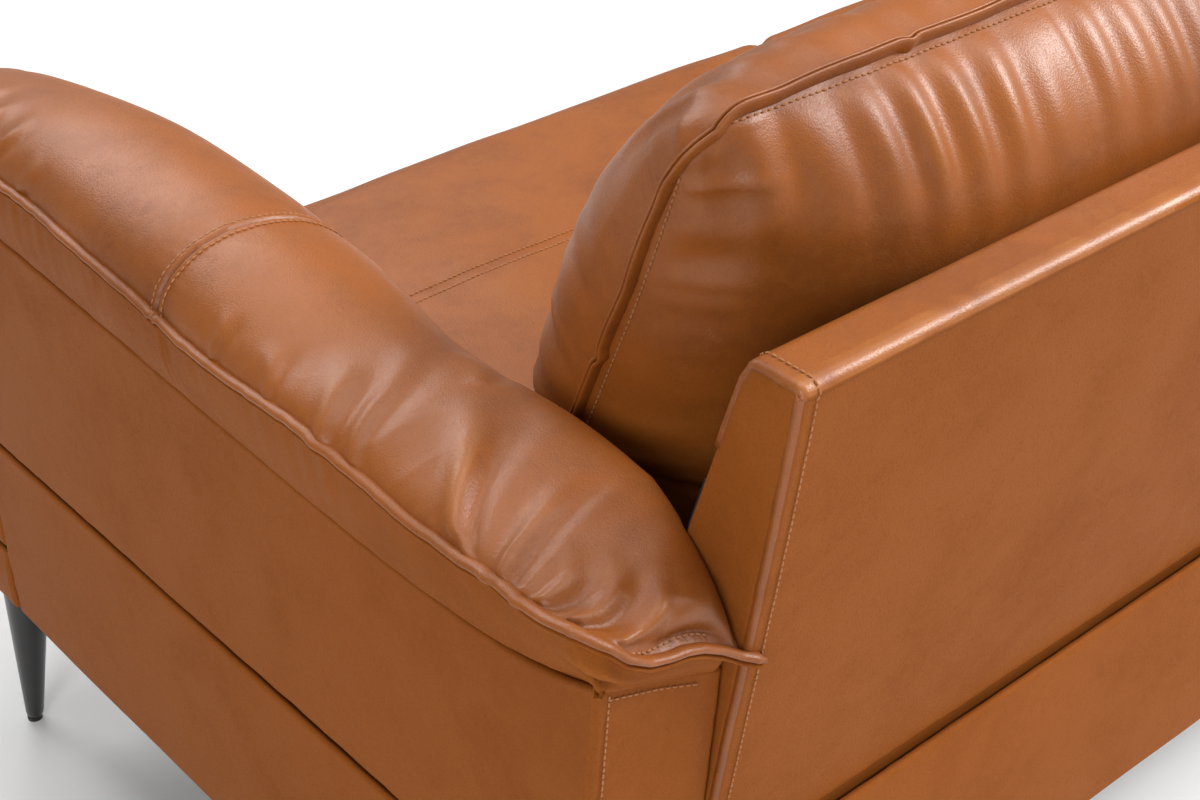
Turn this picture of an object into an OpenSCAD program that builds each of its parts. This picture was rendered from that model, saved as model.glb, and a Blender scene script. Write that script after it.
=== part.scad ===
// Two-seat leather sofa on four turned, splayed legs.
// +Z is up and the front faces -Y. The origin is on the floor, under the middle of the sofa's box.
// Inside the modules, heights are measured from the underside of the base, y from its rear face,
// and side parts are drawn for the right arm: x = 0 is its outer face, and x runs negative inwards.

/* [Overall] */
// Width over the outer faces of the arms
sofa_w = 1864; // [1500:1:2300]
// Depth of the base, front face to rear face
base_d = 850; // [760:1:1000]
// Height of the underside of the base above the floor
leg_h = 165; // [130:1:220]

/* [Base] */
// Height of the padded band on the sides and rear
band_h = 189; // [150:1:220]
// Height of the band along the front
front_band_h = 65; // [50:1:80]
// Thickness of the leather and padding on a band
band_t = 12; // [8:0.5:16]
// Radius of the front corners
corner_r = 35; // [28:1:45]
// Length of the front band's return round each corner
corner_wrap = 74; // [60:1:100]
// Width of the open groove between leather panels
groove = 3; // [2:0.5:5]
// Thickness of the leather turned under the base
lip_t = 3; // [2:0.5:4]
// Width of the leather turned under the rails
lip_w = 30; // [20:1:36]
// Thickness of the hardwood rails
rail_t = 25; // [20:1:30]

/* [Legs] */
// Radius of a leg at its top
leg_top_r = 20.5; // [16:0.5:22]
// Radius of a leg at its foot
leg_foot_r = 8; // [6:0.5:12]
// Distance from the sofa's side to the middle of a leg's top
leg_inset_x = 24; // [23:0.5:60]
// Distance from the base's front or rear face to the middle of a leg's top
leg_inset_y = 36; // [28:0.5:80]
// Lean of a leg, outwards to each side
leg_lean = 4; // [0:0.5:8]
// Thickness of the steel leg plates
plate_t = 3; // [2:0.5:4]
// Side of a leg plate
plate_w = 64; // [56:1:80]
// Height of the nylon glide under each leg
glide_h = 4; // [2:0.5:8]
// Radius of the stud that screws a leg to its plate
stud_r = 4; // [3:0.5:5]

/* [Arms] */
// Width of the arm box
arm_w = 94; // [80:1:130]
// Height of the arm's top board
arm_h = 430; // [390:1:470]
// Rise of the pad's crown above the top board
pad_rise = 82; // [60:1:100]
// Reach of the pad past the arm's outer face
pad_out = 12; // [6:1:20]
// Reach of the pad past the arm box, over the seat
pad_in = 41; // [30:1:50]
// Thickness of the pad where it falls over the front
pad_front = 35; // [25:1:45]
// Thickness of the foam facing on the inside of the arm
facing_t = 16; // [10:1:22]
// Thickness of the plywood arm panels
ply_t = 10; // [8:1:15]

/* [Back] */
// Height of the back frame
back_h = 591; // [560:1:640]
// Thickness of the back frame at its top
back_top_t = 43; // [36:1:60]
// Lean of the back's front face
back_front_lean = 18; // [14:0.5:20]
// Lean of the back's rear face
back_rear_lean = 9.5; // [6:0.5:11]
// Thickness of the leather and padding on the back
back_skin = 5; // [4:0.5:8]
// Thickness of the back posts
back_post_t = 30; // [24:1:40]

/* [Seat] */
// Height of the seat cushions' tops
seat_h = 285; // [260:1:310]
// Height of the deck that the cushions lie on
deck_h = 76; // [72:1:84]
// Distance that the seat cushions stand back from the base's front face
seat_back = 36; // [0:1:60]
// Thickness of a cushion's leather
hide_t = 3; // [2:0.5:4]
// Number of zigzag springs under each cushion
springs_per_seat = 4; // [3:1:5]
// Wire radius of the springs
wire_r = 1.9; // [1.5:0.1:2.5]

/* [Back cushions] */
// Height of the back cushions' tops
cushion_top_h = 695; // [660:1:740]
// Clearance round loose cushions
play = 3; // [2:0.5:6]

/* [Hidden] */

$fn = 48;
half_w = sofa_w / 2;
eps = 0.01;

// The back frame's side outline, leather outside
rear_foot_y = -8;
function rear_y_at(h) = rear_foot_y + (h - band_h) * tan(back_rear_lean);
top_front_y = rear_y_at(back_h) - back_top_t;
function front_y_at(h) = top_front_y - (back_h - h) * tan(back_front_lean);
back_foot_h = band_h + groove;

// Place of the sofa's box
front_reach = base_d + pad_front;
rear_reach = rear_y_at(back_h);
rear_y = (front_reach - rear_reach) / 2;

// Arm box, from its outer face inwards
arm_skin = 5;
post_x0 = arm_skin + ply_t;
rail_x1 = band_t + rail_t;
post_x1 = arm_w - 2 - ply_t - arm_skin;
inner_ply_x1 = post_x1 + ply_t;
facing_x1 = arm_w + facing_t;
post_d = 60;
post_inset = band_t + 4;
board_t = 12;
arm_rear_lean = 5.2;
function arm_rear_at(h) = rear_foot_y - 2 + (h - band_h) * tan(arm_rear_lean);

// Base
rail_z0 = lip_t;
rail_h = band_h - lip_t - 4;
front_rail_top = front_band_h - 3;
inner_half = half_w - post_x1;
block_w = 60;
screw_r = 2;
screw_len = 22;
screw_pitch = 44;
plate_x = band_t / 2 + plate_w / 2;
plate_y = band_t / 2 + plate_w / 2;
hole_play = 0.05;
screw_head_h = 1.5;

// Legs
leg_body_h = leg_h - plate_t;
foot_dx = leg_body_h * tan(leg_lean);
foot_round = 5;
stud_len = 30;

// Seat
cushion_half_w = half_w - facing_x1 - 2;
cushion_w = cushion_half_w - play / 2;
cushion_front = -base_d + seat_back;
spring_h = front_rail_top + wire_r + 0.5;
spring_bar = 20;
spring_steps = 4;
spring_front = -base_d + band_t + rail_t / 2;
batten_w = 40;
spring_back = -band_t - rail_t - batten_w / 2;
spring_loops = floor((spring_back - spring_front) / 44);
spring_rise = (spring_back - spring_front) / spring_loops;
lining_t = 4;
clip_t = 1.4;
dust_t = 1;

// Back cushions
cushion_side_in = pad_in - 14;
back_cushion_w = half_w - arm_w - cushion_side_in - play - play / 2;
fill_inset = hide_t + 0.5;

// Fasteners
bolt_r = 3;
bolt_len = 60;
bolt_edge = 39;
bolt_lift = 16;

// Back frame
panel_t = 3;
back_rail_h = 45;
webs = 5;
web_w = 50;
web_t = 1.5;
web_z0 = band_h + 12;
web_z1 = back_h - 12;

// Arm pads
pad_roll_rx = 75;
pad_roll_rz = 70;
pad_roll_at = [-front_reach + pad_roll_rx, arm_h - 30];
pad_top = arm_h + pad_rise;
pad_rear_y = rear_y_at(arm_h);
pad_narrow_y = -base_d * 0.32;
pad_tail_y = -44;
pad_fall_h = band_h - 14;
pad_x0 = -arm_w - pad_in;

leather_colour = [0.66, 0.38, 0.20];
wood_colour = [0.80, 0.65, 0.43];
ply_colour = [0.86, 0.74, 0.55];
black_colour = [0.06, 0.055, 0.05];
steel_colour = [0.62, 0.63, 0.65];
foam_colour = [0.93, 0.89, 0.74];
cloth_colour = [0.13, 0.12, 0.12];
lining_colour = [0.42, 0.27, 0.16];
fibre_colour = [0.93, 0.93, 0.91];

// ---- placing and drawing helpers ----

module base_frame() translate([0, rear_y, leg_h]) children();
module arm_frame(side) base_frame() mirror([side < 0 ? 1 : 0, 0, 0]) translate([half_w, 0, 0]) children();
// A block between two corners
module block(low, high) translate(low) cube(high - low);
// A side outline of (y, height) points, drawn from x0 to x1
module side_outline(x0, x1, points)
    translate([x0, 0, 0]) rotate([90, 0, 90]) linear_extrude(x1 - x0) polygon(points);
function arc(centre, rx, ry, a0, a1, steps) =
    [for (i = [0:steps]) let (a = a0 + (a1 - a0) * i / steps) [centre[0] + rx * cos(a), centre[1] + ry * sin(a)]];

// ---- base ----

// A slab the size of the base less an inset all round, with rounded front corners
module base_slab(inset, z0, z1) {
    r = max(corner_r - inset, 2);
    w = half_w - inset;
    front = -base_d + inset;
    block([-w, front + r, z0], [w, -inset, z1]);
    block([-w + r, front, z0], [w - r, front + r + eps, z1]);
    for (x = [-w + r, w - r]) translate([x, front + r, z0]) cylinder(r = r, h = z1 - z0);
}
// A band of leather and padding, and its lip turned under the rails
module base_skin(height) {
    difference() {
        base_slab(0, 0, height);
        base_slab(band_t, -1, height + 1);
    }
    difference() {
        base_slab(0, 0, lip_t);
        base_slab(band_t + lip_w, -1, lip_t + 1);
    }
}
// Pilot holes for the leg plates' screws, in the base's frame and in a side part's frame
module plate_holes() leg_places() plate_screw_places() cylinder(r = screw_r + hole_play, h = 2 * screw_len, center = true);
module side_plate_holes() translate([-half_w, 0, 0]) plate_holes();

module front_band() color(leather_colour) base_frame() difference() {
    intersection() {
        base_skin(front_band_h);
        block([-half_w - 1, -base_d - 1, -1], [half_w + 1, -base_d + corner_wrap, front_band_h + 1]);
    }
    plate_holes();
}
module rear_band() color(leather_colour) base_frame() difference() {
    intersection() {
        base_skin(band_h);
        block([-half_w - 1, -band_t - lip_w, -1], [half_w + 1, 1, band_h + 1]);
    }
    plate_holes();
}
// Full height behind the front band's return, and above it at the corner
module side_band(side) color(leather_colour) arm_frame(side) translate([-half_w, 0, 0]) difference() {
    union() {
        intersection() {
            base_skin(band_h);
            block([half_w - band_t - lip_w, -base_d + corner_wrap + 0.5, -1],
                  [half_w + 1, -band_t - lip_w - 0.5, band_h + 1]);
        }
        intersection() {
            base_skin(band_h);
            block([half_w - arm_w, -base_d - 1, front_band_h + groove],
                  [half_w + 1, -base_d + corner_wrap + 1, band_h + 1]);
        }
    }
    plate_holes();
}
module side_rail(side) color(wood_colour) arm_frame(side) difference() {
    block([-rail_x1, -base_d + corner_r, rail_z0], [-band_t, -band_t, rail_z0 + rail_h]);
    side_plate_holes();
    arm_bolt_places() cylinder(r = bolt_r + hole_play, h = 3 * rail_t, center = true);
}
module front_rail() color(wood_colour) base_frame()
    block([-inner_half, -base_d + band_t, rail_z0], [inner_half, -base_d + band_t + rail_t, front_rail_top]);
module rear_rail() color(wood_colour) base_frame() difference() {
    block([-inner_half, -band_t - rail_t, rail_z0], [inner_half, -band_t, rail_z0 + rail_h]);
    back_bolt_places() cylinder(r = bolt_r + hole_play, h = bolt_len);
}
module centre_rail() color(wood_colour) base_frame()
    block([-rail_t, -base_d + band_t + rail_t, rail_z0], [rail_t, -band_t - rail_t - batten_w, front_rail_top - 12]);
module spring_batten() color(wood_colour) base_frame()
    block([-inner_half, -band_t - rail_t - batten_w, rail_z0 + 12], [inner_half, -band_t - rail_t, front_rail_top]);
// A three-sided block in each corner, between rail and post
module corner_blocks() color(wood_colour) base_frame() for (side = [-1, 1], front = [0, 1]) {
    y0 = front ? -base_d + band_t + rail_t : -band_t - rail_t - batten_w;
    step = front ? 1 : -1;
    x0 = side * inner_half;
    translate([0, 0, rail_z0]) linear_extrude(front_rail_top - 14 - rail_z0)
        polygon([[x0, y0], [x0 - side * block_w, y0], [x0, y0 + step * block_w]]);
}

// ---- legs ----

// The four leg places: x and y point outwards from each corner
module leg_places() for (side = [-1, 1], front = [0, 1]) leg_place(side, front) children();
module leg_place(side, front)
    translate([side * (half_w - leg_inset_x), front ? -base_d + leg_inset_y : -leg_inset_y, 0])
        mirror([side < 0 ? 1 : 0, 0, 0]) mirror([0, front ? 1 : 0, 0]) children();
module plate_screw_places()
    for (corner = [[-0.5, -0.5], [-0.5, 0.5], [0.5, -0.5]])
        translate([leg_inset_x - plate_x + corner[0] * screw_pitch, leg_inset_y - plate_y + corner[1] * screw_pitch, 0])
            children();
// A leg leans outwards both ways from the middle of its top
module leg_lean_frame() translate([0, 0, -plate_t]) rotate([leg_lean, -leg_lean, 0]) children();
module stud_shape() leg_lean_frame() translate([0, 0, -stud_len]) cylinder(r = stud_r, h = stud_len + 10);
module leg(side, front) color(black_colour) base_frame() leg_place(side, front) difference() {
    leg_lean_frame() rotate_extrude() polygon(concat([[0, 3], [leg_top_r, 3]],
        arc([leg_foot_r - foot_round, -leg_body_h + foot_round], foot_round, foot_round, 0, -90, 6), [[0, -leg_body_h]]));
    block([-50, -50, -plate_t], [50, 50, 20]);
    block([-100, -100, -leg_h - 50], [100, 100, -leg_h + glide_h]);
    stud_shape();
}
module leg_plates() color(steel_colour) base_frame() leg_places() difference() {
    translate([leg_inset_x - plate_x - plate_w / 2, leg_inset_y - plate_y - plate_w / 2, -plate_t])
        cube([plate_w, plate_w, plate_t]);
    plate_screw_places() cylinder(r = screw_r + hole_play, h = 20, center = true);
}
module leg_studs() color(steel_colour) base_frame() leg_places() difference() {
    stud_shape();
    block([-50, -50, -plate_t], [50, 50, 50]);
}
module plate_screws() color(steel_colour) base_frame() leg_places() plate_screw_places() {
    translate([0, 0, -plate_t - screw_head_h]) cylinder(r = 2 * screw_r, h = screw_head_h);
    translate([0, 0, -plate_t - eps]) cylinder(r = screw_r, h = screw_len);
}
module leg_glides() color(black_colour) base_frame() leg_places()
    translate([foot_dx, foot_dx, -leg_h]) cylinder(r = leg_foot_r - 1, h = glide_h);

// ---- seat platform ----

// One edge of a zigzag spring's wire, as points along its half loops
function spring_edge(edge) = [for (i = [0:spring_loops - 1], step = [0:spring_steps])
    let (turn = i % 2 == 0 ? 1 : -1, r = spring_rise / 2 + edge * turn * wire_r, a = -90 + 180 * step / spring_steps)
    [turn * (spring_bar / 2 + r * cos(a)), spring_rise * (i + 0.5) + r * sin(a)]];
function backwards(list) = [for (i = [len(list) - 1:-1:0]) list[i]];
// One spring lying along y from the front rail to the batten
module zigzag_spring(x) translate([x, spring_front, spring_h - wire_r]) linear_extrude(2 * wire_r)
    polygon(concat(spring_edge(1), backwards(spring_edge(-1))));
spring_pitch = (cushion_w - 120) / springs_per_seat;
function spring_x(i) = 60 + spring_pitch * (i + 0.5);
module seat_springs() color(steel_colour) base_frame()
    for (side = [-1, 1], i = [0:springs_per_seat - 1]) zigzag_spring(side * spring_x(i));
// Folded clips that hold the spring ends down on the wood
module spring_clips() color(steel_colour) base_frame()
    for (side = [-1, 1], i = [0:springs_per_seat - 1], y = [spring_front, spring_back])
        translate([side * spring_x(i), y, spring_h]) difference() {
            block([-9, -7, -wire_r - 0.5], [9, 7, wire_r + clip_t]);
            block([-10, -wire_r - 0.3, -wire_r - 0.3], [10, wire_r + 0.3, wire_r + 0.3]);
        }
module seat_deck() color(lining_colour) base_frame()
    block([-half_w + inner_ply_x1 + 1, -base_d + band_t, spring_h + wire_r + clip_t],
          [half_w - inner_ply_x1 - 1, -band_t - rail_t - 1, deck_h]);
module dust_cover() color(cloth_colour) base_frame() difference() {
    base_slab(band_t + lip_w + 0.1, lip_t - dust_t, lip_t);
    plate_holes();
}

// ---- arms ----

function arm_side_points(z0, z1, front, back_off) =
    [[front, z0], [arm_rear_at(z0) - back_off, z0], [arm_rear_at(z1) - back_off, z1], [front, z1]];
module arm_bolt_places()
    for (y = [-base_d + post_inset + bolt_edge, -post_inset - bolt_edge], z = [deck_h + bolt_lift, band_h - bolt_lift])
        translate([-rail_x1, y, z]) rotate([0, 90, 0]) children();
module arm_posts(side) color(wood_colour) arm_frame(side) difference() {
    for (y = [-base_d + post_inset, -post_inset - post_d]) {
        block([-post_x1, y, rail_z0], [-rail_x1, y + post_d, arm_h - board_t]);
        block([-rail_x1 - eps, y, band_h], [-post_x0, y + post_d, arm_h - board_t]);
    }
    arm_bolt_places() translate([0, 0, -post_x1]) cylinder(r = bolt_r + hole_play, h = 2 * post_x1);
    side_plate_holes();
}
// Bolts that hold each post to its side rail, with a washer-faced head on the inside
module arm_bolts() color(steel_colour) for (side = [-1, 1]) arm_frame(side) arm_bolt_places() {
    translate([0, 0, rail_x1 - post_x1]) cylinder(r = bolt_r, h = post_x1 - band_t - 2);
    translate([0, 0, rail_x1 - post_x1 - 4]) cylinder(r = 2 * bolt_r, h = 4);
}
module arm_outer_panel(side) color(ply_colour) arm_frame(side)
    side_outline(-post_x0, -arm_skin, arm_side_points(band_h + groove, arm_h - board_t, -base_d + band_t, arm_skin));
module arm_inner_panel(side) color(ply_colour) arm_frame(side) difference() {
    block([-inner_ply_x1, -base_d + band_t, deck_h + 1], [-post_x1, -band_t - rail_t - 1, arm_h - board_t]);
    arm_bolt_places() translate([0, 0, -post_x1]) cylinder(r = 2 * bolt_r + 2, h = post_x1);
}
module arm_board(side) color(ply_colour) arm_frame(side)
    side_outline(-inner_ply_x1, -arm_skin, arm_side_points(arm_h - board_t, arm_h, -base_d + band_t, arm_skin));
// Leather over the arm's outside, front and rear
module arm_cover(side) color(leather_colour) arm_frame(side) difference() {
    side_outline(-arm_w, 0, arm_side_points(band_h + groove, arm_h, -base_d, 0));
    side_outline(-arm_w - 1, -arm_skin, arm_side_points(band_h, arm_h + 1, -base_d + band_t, arm_skin));
}
// Foam and leather on the inside of the arm, cut to the back's slope
module arm_facing(side) color(leather_colour) arm_frame(side)
    side_outline(-facing_x1, -arm_w, [[-base_d + 1, deck_h + 1], [front_y_at(deck_h) - lining_t - 1, deck_h + 1],
        [front_y_at(arm_h) - lining_t - 1, arm_h], [-base_d + 1, arm_h]]);

// The pad's crown line runs from the front roll to the pointed rear end
module arm_pad_top() intersection() {
    side_outline(pad_x0, pad_out, concat([[pad_rear_y - 16, arm_h], [-base_d + 1, arm_h]],
        arc(pad_roll_at, pad_roll_rx, pad_roll_rz, 155, 90, 6),
        [[-base_d * 0.8, pad_top - 17], [-base_d * 0.66, pad_top - 4], [-base_d * 0.5, pad_top],
         [pad_narrow_y, pad_top - 16], [-base_d * 0.15, pad_top - 38], [-33, pad_top - 54],
         [pad_rear_y, arm_h + 4]]));
    // Narrower beside the back cushion, and narrower again beside the back
    translate([0, 0, arm_h - 1]) linear_extrude(pad_rise + 10) polygon([
        [pad_out, -front_reach - 1], [pad_out, pad_rear_y + 1], [-arm_w + 1, pad_rear_y + 1], [-arm_w + 1, pad_tail_y],
        [-arm_w - cushion_side_in, pad_tail_y], [-arm_w - cushion_side_in, pad_narrow_y], [pad_x0, pad_narrow_y],
        [pad_x0, -front_reach - 1]]);
}
// The pad's fall over the arm's front ends in a round roll
module arm_pad_fall() {
    back = -base_d - 1;
    roll = (pad_front - 1) / 2;
    side_outline(-facing_x1, pad_out, concat([[back, arm_h + 1], [back, pad_fall_h + roll]],
        arc([back - roll, pad_fall_h + roll], roll, roll, 0, -180, 10),
        arc(pad_roll_at, pad_roll_rx, pad_roll_rz, 180, 150, 3)));
}
module arm_foam_shape() side_outline(pad_x0 + 30, -arm_skin, [[-base_d + 16, arm_h], [-base_d + 16, pad_top - 62],
    [-base_d * 0.75, pad_top - 34], [pad_narrow_y, pad_top - 34], [-base_d * 0.13, arm_h + 18], [-base_d * 0.13, arm_h]]);
module arm_pad(side) color(leather_colour) arm_frame(side) difference() {
    union() {
        arm_pad_top();
        arm_pad_fall();
    }
    arm_foam_shape();
}
module arm_foam(side) color(foam_colour) arm_frame(side) arm_foam_shape();

// ---- back ----

back_half_w = half_w - arm_w - 1;
wood_z0 = rail_z0 + rail_h;
wood_z1 = back_h - back_skin;
// The posts stand on the rear rail
module back_posts() color(wood_colour) base_frame() difference() {
    for (x = [-back_half_w + back_skin, -back_post_t / 2, back_half_w - back_skin - back_post_t])
        side_outline(x, x + back_post_t, [[front_y_at(wood_z0) + web_t + eps, wood_z0],
            [rear_y_at(wood_z0) - back_skin - panel_t, wood_z0], [rear_y_at(wood_z1) - back_skin - panel_t, wood_z1],
            [front_y_at(wood_z1) + web_t + eps, wood_z1]]);
    back_bolt_places() cylinder(r = bolt_r + hole_play, h = bolt_len + 1);
}
module back_bolt_places()
    for (x = [-back_half_w + back_skin + back_post_t / 2, 0, back_half_w - back_skin - back_post_t / 2])
        translate([x, -band_t - rail_t / 2, wood_z0 - bolt_len / 2]) children();
module back_bolts() color(steel_colour) base_frame() back_bolt_places() cylinder(r = bolt_r, h = bolt_len);
module back_spans() for (x = [-back_half_w + back_skin + back_post_t, back_post_t / 2])
    translate([x, 0, 0]) children();
span_w = back_half_w - back_skin - 1.5 * back_post_t;
module back_rail(z0, z1) color(wood_colour) base_frame() back_spans()
    side_outline(0, span_w, [for (p = [[rail_t, z0], [0, z0], [0, z1], [rail_t, z1]])
        [rear_y_at(p[1]) - back_skin - panel_t - eps - p[0], p[1]]]);
module back_top_rail() back_rail(wood_z1 - back_rail_h, wood_z1);
module back_lower_rail() back_rail(wood_z0 + 2, wood_z0 + back_rail_h);
module back_panel() color(ply_colour) base_frame() side_outline(-back_half_w + back_skin, back_half_w - back_skin, [
    [rear_y_at(back_foot_h) - back_skin - panel_t, back_foot_h], [rear_y_at(back_foot_h) - back_skin, back_foot_h],
    [rear_y_at(wood_z1) - back_skin, wood_z1], [rear_y_at(wood_z1) - back_skin - panel_t, wood_z1]]);
// Straps stretched from end post to end post, on the posts' front faces
module back_webbing() color(cloth_colour) base_frame() for (i = [0:webs - 1]) {
    z = web_z0 + (web_z1 - web_z0 - web_w) * i / (webs - 1);
    side_outline(-back_half_w + back_skin, back_half_w - back_skin, front_sheet(z, z + web_w, 0, web_t));
}
function front_sheet(z0, z1, off, thick) = [[front_y_at(z0) - off, z0], [front_y_at(z1) - off, z1],
    [front_y_at(z1) - off + thick, z1], [front_y_at(z0) - off + thick, z0]];
// Lining over the webbing, from the top of the back down to the deck
module back_lining() color(lining_colour) base_frame()
    side_outline(-back_half_w, back_half_w, front_sheet(deck_h + 1, back_h - back_skin, lining_t, lining_t - 0.2));
// Leather over the rear, the top and both ends
module back_cover() color(leather_colour) base_frame() difference() {
    side_outline(-back_half_w, back_half_w, [[front_y_at(back_foot_h), back_foot_h], [rear_y_at(back_foot_h), back_foot_h],
        [rear_y_at(back_h), back_h], [front_y_at(back_h), back_h]]);
    side_outline(-back_half_w + back_skin, back_half_w - back_skin, concat(
        [[front_y_at(band_h) - 60, band_h], [rear_y_at(band_h) - back_skin, band_h]],
        [[rear_y_at(wood_z1) - back_skin, wood_z1], [front_y_at(wood_z1) - 60, wood_z1]]));
}

// ---- cushions ----

module seat_cushion_shape(inset) {
    z0 = deck_h + 0.5;
    z1 = seat_h;
    back_off = lining_t + play;
    side_outline(play / 2 + inset, cushion_half_w - inset, [
        [cushion_front + inset, z0 + inset], [front_y_at(z0) - back_off - inset, z0 + inset],
        [front_y_at(z1) - back_off - inset, z1 - inset], [cushion_front + inset, z1 - inset]]);
}
module place_half(side) base_frame() mirror([side < 0 ? 1 : 0, 0, 0]) children();
module seat_cushion(side) color(leather_colour) place_half(side) difference() {
    seat_cushion_shape(0);
    seat_cushion_shape(hide_t);
}
module seat_foam(side) color(foam_colour) place_half(side) seat_cushion_shape(fill_inset);
module back_cushion_shape(inset) {
    back_off = lining_t + play;
    z0 = seat_h + play;
    side_outline(play / 2 + inset, play / 2 + back_cushion_w - inset, [
        [-base_d * 0.31 + inset, z0 + inset], [front_y_at(z0) - back_off - inset, z0 + inset],
        [front_y_at(back_h) - back_off - inset, back_h - inset], [-30 - inset, cushion_top_h - 35 - inset],
        [-58, cushion_top_h - inset], [-98, cushion_top_h - 4 - inset], [-150 + inset, cushion_top_h - 44 - inset],
        [-222 + inset, cushion_top_h - 138], [-base_d * 0.31 + inset, cushion_top_h - 240]]);
}
module back_cushion(side) color(leather_colour) place_half(side) difference() {
    back_cushion_shape(0);
    back_cushion_shape(hide_t);
}
module back_fill(side) color(fibre_colour) place_half(side) back_cushion_shape(fill_inset);

front_rail();
rear_rail();
side_rail(-1);  // side_rail_left
side_rail(1);  // side_rail_right
centre_rail();
spring_batten();
corner_blocks();
leg(-1, 1);  // leg_front_left
leg(1, 1);  // leg_front_right
leg(-1, 0);  // leg_rear_left
leg(1, 0);  // leg_rear_right
leg_plates();
leg_studs();
plate_screws();
leg_glides();
seat_springs();
spring_clips();
seat_deck();
dust_cover();
front_band();
rear_band();
side_band(-1);  // side_band_left
side_band(1);  // side_band_right
arm_posts(-1);  // arm_posts_left
arm_posts(1);  // arm_posts_right
arm_outer_panel(-1);  // arm_outer_panel_left
arm_outer_panel(1);  // arm_outer_panel_right
arm_inner_panel(-1);  // arm_inner_panel_left
arm_inner_panel(1);  // arm_inner_panel_right
arm_board(-1);  // arm_board_left
arm_board(1);  // arm_board_right
arm_cover(-1);  // arm_cover_left
arm_cover(1);  // arm_cover_right
arm_facing(-1);  // arm_facing_left
arm_facing(1);  // arm_facing_right
arm_pad(-1);  // arm_pad_left
arm_pad(1);  // arm_pad_right
arm_foam(-1);  // arm_foam_left
arm_foam(1);  // arm_foam_right
back_posts();
back_top_rail();
back_lower_rail();
back_panel();
back_webbing();
back_lining();
back_cover();
back_bolts();
arm_bolts();
seat_cushion(-1);  // seat_cushion_left
seat_cushion(1);  // seat_cushion_right
seat_foam(-1);  // seat_foam_left
seat_foam(1);  // seat_foam_right
back_cushion(-1);  // back_cushion_left
back_cushion(1);  // back_cushion_right
back_fill(-1);  // back_fill_left
back_fill(1);  // back_fill_right
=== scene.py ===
import math

import bmesh
import bpy
import numpy as np
from mathutils import Matrix, Vector


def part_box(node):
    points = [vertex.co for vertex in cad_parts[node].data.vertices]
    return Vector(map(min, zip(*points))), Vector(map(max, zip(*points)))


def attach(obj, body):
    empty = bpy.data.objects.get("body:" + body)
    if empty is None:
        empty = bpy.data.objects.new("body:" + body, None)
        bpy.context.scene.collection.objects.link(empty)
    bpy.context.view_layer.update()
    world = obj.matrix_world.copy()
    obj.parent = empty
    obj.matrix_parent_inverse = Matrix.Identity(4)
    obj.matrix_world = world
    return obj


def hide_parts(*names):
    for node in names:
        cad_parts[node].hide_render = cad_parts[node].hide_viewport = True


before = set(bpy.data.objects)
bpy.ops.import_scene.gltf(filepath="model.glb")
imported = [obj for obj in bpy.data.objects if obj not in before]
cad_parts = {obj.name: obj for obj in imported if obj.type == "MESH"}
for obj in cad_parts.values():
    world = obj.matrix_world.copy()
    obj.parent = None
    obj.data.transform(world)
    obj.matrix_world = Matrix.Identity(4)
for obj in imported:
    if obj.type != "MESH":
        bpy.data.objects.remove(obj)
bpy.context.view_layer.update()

# ---------------------------------------------------------------- where things are
# Shapes are drawn in millimetres, as an upholsterer measures them: x from the arm's outer face (negative
# inwards) or from the middle of the sofa, y from the rear face of the base, z from the underside of the base.

MM = 0.001
LEFT, RIGHT, MIDDLE = -1, 1, 0


def node_box(node):
    """A CAD node's lowest and highest corners, in millimetres."""
    low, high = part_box(node)
    return np.array(low) / MM, np.array(high) / MM


HALF_W = node_box("side_band_right")[1][0]
REAR_Y = node_box("rear_band")[1][1]
BASE_Z = node_box("side_band_right")[0][2]
BAND_H = node_box("side_band_right")[1][2] - BASE_Z
FRONT_BAND_H = node_box("front_band")[1][2] - BASE_Z
BASE_D = REAR_Y - node_box("front_band")[0][1]
BOARD_H = node_box("arm_board_right")[1][2] - BASE_Z
ARM_W = HALF_W - node_box("arm_cover_right")[0][0]
ARM_INNER = HALF_W - node_box("arm_facing_right")[0][0]
BACK_H = node_box("back_cover")[1][2] - BASE_Z
BACK_FOOT_H = node_box("back_cover")[0][2] - BASE_Z
BACK_HALF_W = node_box("back_cover")[1][0]
BACK_REAR_TOP = node_box("back_cover")[1][1] - REAR_Y
DECK_H = node_box("seat_deck")[1][2] - BASE_Z
SEAT_LOW, SEAT_HIGH = node_box("seat_cushion_right")
CUSHION_LOW, CUSHION_HIGH = node_box("back_cushion_right")
GROOVE = 3.0
BACK_REAR_LEAN = math.tan(math.radians(9.5))
BACK_FRONT_LEAN = math.tan(math.radians(18))
ARM_REAR_LEAN = math.tan(math.radians(5.2))
BACK_TOP_T = 43.0


def back_rear(z):
    return BACK_REAR_TOP - (BACK_H - z) * BACK_REAR_LEAN


def back_front(z):
    return BACK_REAR_TOP - BACK_TOP_T - (BACK_H - z) * BACK_FRONT_LEAN


def arm_rear(z):
    return -10.0 + (z - BAND_H) * ARM_REAR_LEAN


def placed(points, side):
    """Drawn points, in the sofa's frame and in metres. side is LEFT or RIGHT for an arm's part, or MIDDLE."""
    p = np.array(points, float)
    if side != MIDDLE:
        p[..., 0] = side * (HALF_W + p[..., 0])
    p[..., 1] += REAR_Y
    p[..., 2] += BASE_Z
    return p * MM


# ---------------------------------------------------------------- numbers that vary smoothly

def through(x, knots):
    """A smooth line through a few (x, value) knots, read at x."""
    xs, ys = np.array(knots, float).T
    slope = np.gradient(ys, xs)
    i = np.clip(np.searchsorted(xs, x) - 1, 0, len(xs) - 2)
    h = xs[i + 1] - xs[i]
    t = np.clip((x - xs[i]) / h, 0, 1)
    return ((1 + 2 * t) * (1 - t) ** 2 * ys[i] + t * (1 - t) ** 2 * h * slope[i]
            + t * t * (3 - 2 * t) * ys[i + 1] + t * t * (t - 1) * h * slope[i + 1])


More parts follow.
